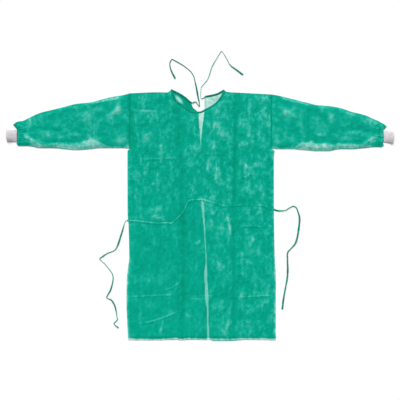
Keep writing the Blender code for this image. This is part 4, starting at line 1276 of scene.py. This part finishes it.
def build_sleeve(name, node, table, ends, left):
    """A flattened tube from the armhole to its gathered end."""
    side = -1 if left else 1
    xs = column(table, 0)
    long = abs(xs[-1] - xs[0])
    main = xs[0] + side * np.linspace(0, long, int(long / 0.0044))
    order = sorted(table)
    low = smooth(main, column(order, 0), column(order, 1))
    high = smooth(main, column(order, 0), column(order, 2))
    share = (1 - np.cos(np.pi * np.arange(SLEEVE_POINTS + 1) / SLEEVE_POINTS)) / 2
    share = 0.55 * share + 0.45 * np.linspace(0, 1, SLEEVE_POINTS + 1)
    last = (xs[-1],) * len(END_SHARES) + (table[-1][1], table[-1][2], END_HEIGHT)
    rings = np.array((last,) + tuple(ends))
    t = np.linspace(0, len(rings) - 1, END_RINGS + 1)[1:]
    ring = [np.interp(t, np.arange(len(rings)), rings[:, k]) for k in range(rings.shape[1])]
    ring = np.stack(ring, 1)
    tail = np.stack([np.interp(share, END_SHARES, row[: len(END_SHARES)]) for row in ring])
    place = np.concatenate([np.repeat(main[:, None], SLEEVE_POINTS + 1, 1), tail])
    low = np.concatenate([low, ring[:, 5]])[:, None]
    high = np.concatenate([high, ring[:, 6]])[:, None]
    y = low + share[None, :] * (high - low)
    form, tone, pale = sleeve_fields(place, y, low, high, left)
    # Where the end rings run, the height comes down to the cuff's own
    ending = np.concatenate([np.zeros(len(main)), np.linspace(0, 1, END_RINGS)])[:, None]
    cap = np.concatenate([np.full(len(main), END_HEIGHT), ring[:, 7]])[:, None]
    away = np.abs(place - xs[-1]) * np.where(ending > 0, 0, 1)
    near_end = ease(-away, -0.075, 0.0)
    bend = noise(share[None, :] * 0.4 + 0 * y, 0 * y, 0.03, 71 if left else 72)
    phase = 40.0 * share[None, :] + 3.0 * bend
    gathers = np.sin(TURN * phase / 3.1) * 0.55 + np.sin(TURN * phase / 2.0 + 1.3) * 0.45
    fan = near_end * (0.35 + 0.65 * near_end)
    inset = np.minimum(y - low, high - y)
    window = ease(inset, 0.0, 0.018)
    form = form * (1 - ending) + (cap - 0.0024) * ending
    form = np.maximum(form + 1.3 * MM * gathers * fan, 0.2 * MM)
    tone = tone + 0.07 * gathers * fan + 0.03 * fan
    # Painted shadow: a darker strip just before the gathered end, uneven with the gathers
    tone = tone - 0.20 * bell(away - 0.004, 0.007) * (0.75 + 0.5 * gathers) * (1 - ending)
    from_seam = np.abs(place - xs[0])
    shoulder = ease(from_seam, 0.0, 0.012)
    dimple, shade = seam_pucker(y, from_seam)
    tone = tone + shade
    top = 0.0017 + form * window * (0.2 + 0.8 * shoulder) + dimple * window
    top = np.where(ending > 0, np.maximum(top, 0.0022), top)
    # The cross-section turns round at both folds
    turn = np.sqrt(1 - (1 - np.clip(inset / FOLD_TURN, 0, 1)) ** 2)
    upper = np.stack([place, y, FOLD_LEVEL + (top - FOLD_LEVEL) * turn], 2)
    floor = 0.25 * MM * crumple(place, y, 0.03, 77) * ease(inset, 0, 0.01)
    lower = np.stack([place, y, FOLD_LEVEL - (FOLD_LEVEL - 0.05 * MM - floor) * turn], 2)
    grid = np.concatenate([lower[:, 1:-1], upper[:, ::-1]], 1)
    calm = 0.04 * noise(place, y, 0.05, 78)
    tones = np.concatenate([calm[:, 1:-1], tone[:, ::-1]], 1) + 0.26
    mottle = np.concatenate([np.full_like(pale[:, 1:-1], 0.5), 0.58 - 0.15 * pale[:, ::-1]], 1)
    if left:
        grid, tones, mottle = grid[:, ::-1], tones[:, ::-1], mottle[:, ::-1]
    fields = (("tone", tones), ("mottle", mottle))
    return shell(
        name, grid, CLOTH, SLEEVE_CLOTH, fields, wrap=True, replaces=node
    )


sleeve_left_cloth = build_sleeve("sleeve_left_cloth", "sleeve_left", SLEEVE_LEFT, END_LEFT, True)
sleeve_right_cloth = build_sleeve(
    "sleeve_right_cloth", "sleeve_right", SLEEVE_RIGHT, END_RIGHT, False
)


# Cuffs

# x, lower edge, upper edge, height, bulge of the free edge in the middle
CUFF_LEFT = (
    (-0.8476, 0.3350, 0.3875, 0.0058, 0.0),
    (-0.8600, 0.3352, 0.3884, 0.0082, 0.0),
    (-0.8690, 0.3350, 0.3890, 0.0105, -0.0010),
    (-0.8800, 0.3348, 0.3897, 0.0125, -0.0025),
    (-0.8938, 0.3345, 0.3900, 0.0135, -0.0018),
)
CUFF_RIGHT = (
    (0.8391, 0.3335, 0.3845, 0.0058, 0.0),
    (0.8510, 0.3322, 0.3848, 0.0082, 0.0),
    (0.8600, 0.3305, 0.3850, 0.0105, 0.0010),
    (0.8700, 0.3280, 0.3848, 0.0125, 0.0015),
    (0.8800, 0.3260, 0.3842, 0.0135, 0.0012),
)
RIBS = 21
POINTS_A_RIB = 14
CUFF_RINGS = 34
CUFF_LEVEL = 0.0022
KNIT_WALL = 0.9 * MM


def build_cuff(name, node, table, left):
    """A rib knit tube, rounder than the cloth, with an open free edge."""
    side = -1 if left else 1
    t = np.linspace(0, 1, CUFF_RINGS)
    xs = column(table, 0)
    x = xs[0] + t * (xs[-1] - xs[0])
    order = sorted(table)
    low, high, tall, bulge = (
        smooth(x, column(order, 0), column(order, k))[:, None] for k in (1, 2, 3, 4)
    )
    count = RIBS * POINTS_A_RIB
    turn = TURN * np.arange(count) / count
    across = -np.cos(turn)[None, :]
    over = np.sin(turn)[None, :]
    share = (1 + across) / 2
    half = (high - low) / 2
    above, below = np.clip(over, 0, 1), np.clip(-over, 0, 1)
    rise = tall * np.power(above, 1.15) - CUFF_LEVEL * np.power(above, 0.5)
    drop = CUFF_LEVEL * (1 - np.power(below, 0.45))
    z = np.where(over >= 0, CUFF_LEVEL + rise, drop)
    z = np.maximum(z, 0.4 * MM * (over < 0))
    y = low + half * (1 + across)
    # Ribs follow the cloth round, so they are spaced by the way along the section
    step = np.hypot(np.diff(y, axis=1, append=y[:, :1]), np.diff(z, axis=1, append=z[:, :1]))
    way = np.cumsum(step, axis=1) - step
    way = way / (way[:, -1:] + step[:, -1:])
    rib = np.sin(TURN * way * 2 * RIBS)
    raised = 0.34 * MM * np.sign(rib) * np.abs(rib) ** 0.7
    place = x[:, None] + bulge * 4 * share * (1 - share) * t[:, None]
    # The free edge stands a little askew, and its ribs end unevenly
    place = place + side * 0.003 * (share - 0.5) * t[:, None]
    place = place + side * 0.35 * MM * rib * (t[:, None] > 0.97)
    grid = np.stack([place, y, z], 2)
    normal = normals_of(grid, True)
    centre = np.stack([place, low + half + 0 * y, tall / 2 + 0 * y], 2)
    outward = np.sign(((grid - centre) * normal).sum(2).mean())
    pinch = ease(t, 0.0, 0.12)[:, None] * (1 - 0.5 * ease(t, 0.93, 1.0)[:, None])
    wave = 0.25 * MM * noise(place, y, 0.012, 81)
    grid = grid + normal * outward * ((raised + wave) * pinch)[:, :, None]
    grid[:, :, 2] = np.maximum(grid[:, :, 2], 0.15 * MM)
    # Painted shade: lighter on the ribs and darker between them, darker next to the sleeve's end
    # and a little at the free edge
    tone = 0.10 * rib * pinch - 0.10 * (1 - pinch)
    if outward < 0:
        grid, tone = grid[:, ::-1], tone[:, ::-1]
    return shell(
        name, grid, KNIT_WALL, KNIT, (("tone", tone),), wrap=True, replaces=node
    )


cuff_left_knit = build_cuff("cuff_left_knit", "cuff_left", CUFF_LEFT, True)
cuff_right_knit = build_cuff("cuff_right_knit", "cuff_right", CUFF_RIGHT, False)


# Neck binding


def way_along(line):
    """The way along a line to each of its points, from above."""
    return np.concatenate([[0], np.cumsum(np.hypot(*np.diff(line[:, :2], axis=0).T))])


def smooth_line(points, spacing):
    """A rounded line through points, with its points evenly spaced."""
    p = np.array(points, float)
    ends = np.concatenate([[2 * p[0] - p[1]], p, [2 * p[-1] - p[-2]]])
    dense = []
    for k in range(1, len(ends) - 2):
        a, b, c, d = ends[k - 1 : k + 3]
        bend, twist = 2 * a - 5 * b + 4 * c - d, 3 * b - a - 3 * c + d
        for t in np.linspace(0, 1, 24, endpoint=False):
            dense.append(0.5 * (2 * b + (c - a) * t + bend * t**2 + twist * t**3))
    dense.append(p[-1])
    dense = np.array(dense)
    way = way_along(dense)
    out = np.linspace(0, way[-1], max(3, int(round(way[-1] / spacing)) + 1))
    return np.stack([np.interp(out, way, dense[:, k]) for k in range(p.shape[1])], 1)


def line_sides(line):
    """Unit vectors along a line and to its left."""
    ahead = np.gradient(line[:, :2], axis=0)
    ahead /= np.linalg.norm(ahead, axis=1, keepdims=True)
    return ahead, np.stack([-ahead[:, 1], ahead[:, 0]], 1)


def front_top(x, y):
    """Height of the front's upper face near the neck."""
    top = front_neck_y(x)
    upper_z, _, _ = front_under(x, y, top, np.full(x.shape, HEM_Y))
    return upper_z


def back_top(x, y):
    return back_under(x, y) + CLOTH


def evened(rows, count):
    """Each column averaged over its neighbours along the first axis."""
    padded = np.pad(rows, ((count, count), (0, 0)), mode="edge")
    return sum(padded[k : k + len(rows)] for k in range(2 * count + 1)) / (2 * count + 1)


# Across the binding, from outside the neck edge to the panel: share of its width, and height
BINDING_SHARES = np.array([-0.12, -0.11, -0.05, 0.08, 0.22, 0.38, 0.54, 0.68, 0.78, 0.88, 0.94])
BINDING_RISE = np.array([-0.50, 0.02, 0.50, 0.66, 0.66, 0.62, 0.52, 0.30, 0.40, 0.28, 0.02]) * MM
# The column in which the binding is sewn down
SEWN = 7


def build_binding(name, node, edge, surface, seed, width, shade):
    """A folded tape over a neck edge, stitched near its inner side, with small puckers.

    edge runs so that the panel lies on its right side.
    """
    line = smooth_line(edge, 0.0018)
    way = way_along(line)
    _, leftward = line_sides(evened(line, 2))
    end = (ease(way, 0, 0.014) * ease(way[-1] - way, 0, 0.014))[:, None]
    share, rise = BINDING_SHARES[None, :], BINDING_RISE[None, :]
    across = share * width * (0.42 + 0.58 * end)

    def beside(distance):
        return [line[:, None, k] - leftward[:, None, k] * distance for k in (0, 1)]

    x, y = beside(across)
    raw = surface(*beside(np.maximum(across, 0.0006)))
    base = evened(np.maximum(raw, raw.mean(1, keepdims=True) - 0.2 * MM), 5)
    base = np.maximum(base, raw)
    long_way = way[:, None] + 0 * x
    pucker = 0.10 * MM * noise(long_way, share * 0.01 + 0 * x, 0.0070, seed)
    pitch = long_way + 0.0012 * noise(long_way, 0 * x, 0.012, seed + 1)
    pucker += 0.09 * MM * np.sin(TURN * pitch / 0.0041) * ease(share, 0.1, 0.7)
    z = base + 0.26 * MM + rise * (0.6 + 0.4 * end) + pucker * (rise > 0)
    z = np.maximum(z, 0.32 * MM)
    grid = np.stack([x, y, z], 2)
    tone = shade + 0.6 * pucker / MM - 0.10 * bell(share - share[0, SEWN], 0.07)
    tone = tone + 0.10 * bell(share - 0.15, 0.18)
    # Columns run away from the edge, so the panel's side comes last and the normal points up
    grid, tone = grid[:, ::-1], tone[:, ::-1] + 0 * z
    made = shell(name, grid, 0.26 * MM, TAPE_CLOTH, (("tone", tone),), replaces=node)
    sewn = np.column_stack([x[:, SEWN], y[:, SEWN], z[:, SEWN] + 0.16 * MM])
    return made, sewn


front_binding, front_sewn = build_binding(
    "neck_binding_front_tape", "neck_binding_front", FRONT_NECK, front_top, 500, 0.0075, 0.26
)
back_left_binding, back_left_sewn = build_binding(
    "neck_binding_back_left_tape", "neck_binding_back_left", BACK_NECK_LEFT, back_top,
    520, 0.0080, 0.12,
)
back_right_binding, back_right_sewn = build_binding(
    "neck_binding_back_right_tape", "neck_binding_back_right", BACK_NECK_RIGHT, back_top,
    540, 0.0085, 0.08,
)


# Ties

# A tie's rows: x, y, roll in degrees, extra lift in mm, and paleness where it has any, a painted
# highlight where the tape stands on edge


def build_tie(name, node, rows, seed, shade, pale, least=0.46, tall=0.62):
    """A folded tape along a line, bunched and tilted where the rows turn it off its flat side."""
    line = smooth_line([(tuple(row) + (0.0,))[:5] for row in rows], 0.003)
    way = way_along(line)
    _, leftward = line_sides(line)
    turned = np.radians(line[:, 2])

    def waver(size, step):
        return noise(way, way * 0 + step, size, seed + step)

    roll = 0.30 * np.sin(2 * turned) + 0.10 * waver(0.05, 0)
    # 1 where the tape lies open and flat, less where it is folded along its middle like a tent
    spread = np.maximum(np.abs(np.cos(turned)), least) * (1 - 0.10 * (1 + waver(0.02, 5)))
    half = TAPE_WIDTH / 2 * (1 + 0.05 * waver(0.03, 1))
    around = TURN * np.arange(18) / 18
    flat = np.sign(np.cos(around)) * np.abs(np.cos(around)) ** 0.75
    rounded = np.sin(around) * (0.75 + 0.45 * np.cos(around) ** 2)
    bow = 0.25 * MM * waver(0.02, 2)[:, None] * (1 - flat[None, :] ** 2)
    u = half[:, None] * flat[None, :]
    v = TAPE / 2 * rounded[None, :] + bow * spread[:, None]
    sine = np.clip(spread, 0, 1)[:, None]
    cosine = np.sqrt(1 - sine**2)
    bend = 0.5 * MM
    lean = u / np.sqrt(u * u + bend * bend)
    side = u * sine + v * cosine * lean
    up = tall * (bend - np.sqrt(u * u + bend * bend)) * cosine + v * sine
    up = up + v * (1 - sine) * (1 - lean**2)
    c, s = np.cos(roll)[:, None], np.sin(roll)[:, None]
    side, up = side * c - up * s, side * s + up * c
    up = up - up.min(1, keepdims=True) + np.maximum(line[:, 3:4], 0.0) * MM
    x, y = (line[:, None, k] + leftward[:, None, k] * side for k in (0, 1))
    grid = np.stack([x, y, up], 2)
    points = np.concatenate([grid.reshape(-1, 3), grid[:1].mean(1), grid[-1:].mean(1)])
    rings, cols = grid.shape[:2]
    index = np.arange(rings * cols).reshape(rings, cols)
    nxt = np.roll(index, -1, 1)
    quads = np.stack([index[:-1], index[1:], nxt[1:], nxt[:-1]], -1).reshape(-1, 4)
    even = np.arange(0, cols, 2)
    after = (even + 2) % cols
    first = np.full(len(even), rings * cols)
    start = np.stack([first, index[0, even], nxt[0, even], index[0, after]], -1)
    end = np.stack([first + 1, index[-1, after], nxt[-1, even], index[-1, even]], -1)
    tone = shade + 0.10 * waver(0.04, 3)[:, None] - 0.10 * (np.abs(flat) < 0.3)[None, :]
    # Painted highlight: paler where the tape is bunched or stands on edge, and by the rows'
    # paleness
    tone = tone + pale * (1 - spread[:, None]) + np.clip(line[:, 4:5], 0, 1)
    tones = np.concatenate([(tone + 0 * up).ravel(), [shade, shade]])
    faces = [quads, start, end]
    made = make(name, points, faces, TAPE_CLOTH, (("tone", tones),), node)
    length = float(np.linalg.norm(np.diff(line[:, :2], axis=0), axis=1).sum())
    return made, length


def under_body(xs, edge_x):
    """A waist tie's rows below a back panel."""
    line_x, line_y = column(TIE_LINE, 0), column(TIE_LINE, 1)
    return tuple((x, float(np.interp(x, line_x, line_y)), 0.0, 0.0) for x in (edge_x,) + tuple(xs))


SEWN_IN = 0.002
LEFT_RUN = under_body(
    (-0.0300, -0.0470, -0.0600, -0.0694, -0.0814, -0.0934, -0.1150)
    + (-0.1366, -0.1541, -0.2000, -0.2500, -0.3000, -0.3360),
    float(opening_x(SEWN_Y, True)) - SEWN_IN,
)
RIGHT_RUN = under_body(
    (0.0350, 0.0550, 0.0790, 0.0925, 0.1035, 0.1190, 0.1366, 0.1606, 0.2190, 0.2893, 0.3360),
    float(opening_x(SEWN_Y, False)) + SEWN_IN,
)
WAIST_TIE_LEFT = (
    (-0.3400, -0.0275, 72, 0.0, 0.3),
    (-0.3475, -0.0285, 84, 0.0, 0.8),
    (-0.3535, -0.0400, 84, 0.0, 0.8),
    (-0.3575, -0.0540, 60, 0.0, 0.1),
    (-0.3700, -0.0960, 35, 0.0),
    (-0.3827, -0.1343, 40, 0.0),
    (-0.3951, -0.1605, 70, 0.0),
    (-0.4110, -0.1705, 90, 0.0),
    (-0.4324, -0.1785, 70, 0.0),
    (-0.4560, -0.1935, 50, 0.0),
    (-0.4672, -0.2029, 90, 0.0),
    (-0.4560, -0.2160, 92, 0.0, 0.3),
    (-0.4430, -0.2277, 94, 0.0, 0.3),
    (-0.4210, -0.2540, 98, 0.0, 0.25),
    (-0.4060, -0.2801, 115, 0.0),
    (-0.4062, -0.3087, 125, 0.0),
    (-0.4163, -0.3473, 140, 0.0),
    (-0.4300, -0.3710, 120, 0.0),
    (-0.4350, -0.3823, 90, 0.0),
    (-0.4250, -0.3890, 60, 0.0),
    (-0.4131, -0.3947, 40, 0.0),
    (-0.3985, -0.4190, 30, 0.0),
    (-0.3915, -0.4480, 50, 0.0),
    (-0.3880, -0.4700, 80, 0.0),
    (-0.3850, -0.4830, 90, 0.0),
    (-0.3930, -0.4920, 90, 0.0),
    (-0.4015, -0.5019, 90, 0.0),
    (-0.3950, -0.5110, 60, 0.0),
    (-0.3813, -0.5216, 30, 0.0),
)
WAIST_TIE_RIGHT = (
    (0.3475, 0.0180, 10, 0.0),
    (0.3662, 0.0166, 45, 0.0),
    (0.3887, 0.0198, 70, 0.0, 0.2),
    (0.4048, 0.0300, 75, 0.0, 0.1),
    (0.4223, 0.0376, 60, 0.0),
    (0.4365, 0.0310, 50, 0.0),
    (0.4450, 0.0100, 36, 0.0),
    (0.4515, -0.0152, 24, 0.0),
    (0.4490, -0.0560, 28, 0.0),
    (0.4408, -0.1050, 30, 0.0),
    (0.4310, -0.1340, 40, 0.0),
    (0.4120, -0.1560, 55, 0.0),
    (0.3965, -0.1760, 48, 0.0),
    (0.3960, -0.2140, 36, 0.0),
    (0.3975, -0.2521, 26, 0.0),
    (0.3950, -0.2900, 32, 0.0),
    (0.3887, -0.3257, 48, 0.0),
    (0.3790, -0.3800, 30, 0.0),
    (0.3726, -0.4356, 14, 0.0),
)
NECK_TIE_LEFT = (
    (-0.0492, 0.5184, 62, 1.15),
    (-0.0437, 0.5139, 66, 1.1),
    (-0.0380, 0.5135, 72, 0.9),
    (-0.0310, 0.5172, 78, 0.8),
    (-0.0244, 0.5170, 85, 0.6),
    (-0.0150, 0.5040, 85, 0.2),
    (-0.0080, 0.4968, 90, 0.2),
    (-0.0082, 0.5150, 60, 0.2),
    (-0.0147, 0.5437, 25, 0.0),
    (-0.0210, 0.5800, 35, 0.0),
    (-0.0281, 0.6123, 60, 0.0),
    (-0.0345, 0.6353, 85, 0.0),
    (-0.0488, 0.6578, 90, 0.0),
    (-0.0754, 0.6808, 80, 0.0),
    (-0.1021, 0.6978, 60, 0.0),
    (-0.1240, 0.7100, 60, 0.0),
    (-0.1335, 0.7140, 90, 0.0),
    (-0.1405, 0.7050, 110, 0.0),
    (-0.1440, 0.6900, 120, 0.0),
    (-0.1375, 0.6620, 140, 0.0),
    (-0.1196, 0.6256, 160, 0.0),
)
NECK_TIE_RIGHT = (
    (0.0205, 0.5420, 62, 1.15),
    (0.0150, 0.5402, 68, 1.0, 0.2),
    (0.0080, 0.5362, 78, 0.7, 0.5),
    (0.0010, 0.5345, 80, 0.3, 0.35),
    (-0.0030, 0.5420, 90, 0.0, 0.35),
    (-0.0025, 0.5600, 90, 0.0, 0.35),
    (0.0000, 0.5856, 90, 0.0, 0.35),
    (0.0130, 0.6030, 88, 0.0, 0.35),
    (0.0276, 0.6196, 88, 0.0, 0.35),
    (0.0391, 0.6468, 80, 0.0),
    (0.0501, 0.6808, 75, 0.0),
    (0.0731, 0.7227, 88, 0.0, 0.4),
    (0.0890, 0.7490, 90, 0.0, 0.75),
    (0.0950, 0.7510, 90, 0.0, 0.75),
    (0.1010, 0.7440, 90, 0.0, 0.75),
    (0.1075, 0.7335, 88, 0.0),
    (0.1190, 0.7120, 75, 0.0),
    (0.1330, 0.6870, 60, 0.0),
    (0.1573, 0.6675, 35, 0.0),
    (0.1914, 0.6426, 15, 0.0),
)
waist_left, waist_left_long = build_tie(
    "waist_tie_left_tape", "waist_tie_left", LEFT_RUN + WAIST_TIE_LEFT, 610, 0.22, 0.45
)
waist_right, waist_right_long = build_tie(
    "waist_tie_right_tape", "waist_tie_right", RIGHT_RUN + WAIST_TIE_RIGHT, 620, 0.24, 0.45
)
neck_left, neck_left_long = build_tie(
    "neck_tie_left_tape", "neck_tie_left", NECK_TIE_LEFT, 630, 0.20, 0.25
)
neck_right, neck_right_long = build_tie(
    "neck_tie_right_tape", "neck_tie_right", NECK_TIE_RIGHT, 640, 0.24, 0.7, least=0.36, tall=0.85
)


# Sewing


# A stitch: places of its rings along it and their girth, and the points of a ring
STITCH_ENDS = (-0.5, -0.40, 0.40, 0.5)
STITCH_GIRTH = (0.25, 1.0, 1.0, 0.25)
RING = 6
THREAD_THICK = 0.00042


def stitches(name, lines, long=0.0026, pitch=0.0038):
    """Rows of thread stitches: short rounded bars along lines of x, y, height."""
    points, faces = [], []
    around = TURN * np.arange(RING) / RING
    for line in lines:
        way = np.linalg.norm(np.diff(line, axis=0), axis=1)
        way = np.concatenate([[0], np.cumsum(way)])
        for start in np.arange(pitch, way[-1] - pitch, pitch):
            middle, past = (
                np.array([np.interp(place, way, line[:, k]) for k in range(3)])
                for place in (start, start + 0.001)
            )
            ahead = (past - middle) / np.linalg.norm(past - middle)
            left = np.cross((0, 0, 1), ahead)
            up = np.cross(ahead, left)
            first = len(points)
            for end, size in zip(STITCH_ENDS, STITCH_GIRTH):
                sink = -0.5 * THREAD_THICK * (abs(end) > 0.45)
                for turn in around:
                    ring = (left * np.cos(turn) + up * np.sin(turn)) * THREAD_THICK / 2 * size
                    points.append(middle + ahead * end * long + ring + up * sink)
            for k in range(len(STITCH_ENDS) - 1):
                for j in range(RING):
                    a, b = first + RING * k + j, first + RING * k + (j + 1) % RING
                    faces.append((a, b, b + RING, a + RING))
            last = first + RING * (len(STITCH_ENDS) - 1)
            faces.append((first, first + 5, first + 4, first + 3))
            faces.append((first, first + 3, first + 2, first + 1))
            faces.append((last, last + 1, last + 2, last + 3))
            faces.append((last, last + 3, last + 4, last + 5))
    return make(name, np.array(points), [np.array(faces)], THREAD)


front_stitches = stitches("neck_front_stitches", [front_sewn])
back_left_stitches = stitches("neck_back_left_stitches", [back_left_sewn])
back_right_stitches = stitches("neck_back_right_stitches", [back_right_sewn])


def tack_lines(edge, inward):
    """Rows of stitches over a waist tie's sewn end, on the back panel beside the opening."""
    lines = []
    for row in (0.003, 0.006, 0.009):
        y = np.linspace(SEWN_Y - 0.007, SEWN_Y + 0.007, 8)
        x = opening_x(y, edge) + inward * row
        lines.append(np.column_stack([x, y, back_top(x, y) + 0.15 * MM]))
    return lines


left_tack = stitches("waist_tie_left_tack", tack_lines(True, -1), long=0.0022, pitch=0.0026)
right_tack = stitches("waist_tie_right_tack", tack_lines(False, 1), long=0.0022, pitch=0.0026)


# Floor and light

REACH = 14.0
DEPTH = -0.0004
floor_mesh = bpy.data.meshes.new("floor")
corners = [(x * REACH, y * REACH, DEPTH) for x, y in ((-1, -1), (1, -1), (1, 1), (-1, 1))]
floor_mesh.from_pydata(corners, [], [(0, 1, 2, 3)])
floor = bpy.data.objects.new("floor", floor_mesh)
bpy.context.scene.collection.objects.link(floor)
floor_graph = Graph("floor")
floor_graph.surface("Base Color", (0.94, 0.94, 0.94, 1))
floor_graph.surface("Roughness", 0.9)
floor_graph.surface("Specular IOR Level", 0.0)
floor_mesh.materials.append(floor_graph.material)

world = bpy.data.worlds.new("world")
world.use_nodes = True
background = world.node_tree.nodes["Background"]
background.inputs["Color"].default_value = (1.0, 1.0, 1.0, 1)
background.inputs["Strength"].default_value = 0.36
bpy.context.scene.world = world


def sun_light(name, side, height, spread, power):
    """Soft light from far away, given by its compass side and height in degrees."""
    data = bpy.data.lights.new(name, "SUN")
    data.angle = np.radians(spread)
    data.energy = power
    light = bpy.data.objects.new(name, data)
    bpy.context.scene.collection.objects.link(light)
    light.rotation_euler = (np.radians(90 - height), 0.0, np.radians(side))


sun_light("key", side=195.0, height=35.0, spread=34.0, power=3.9)
bpy.context.scene.view_settings.view_transform = "Standard"
bpy.context.scene.view_settings.look = "None"
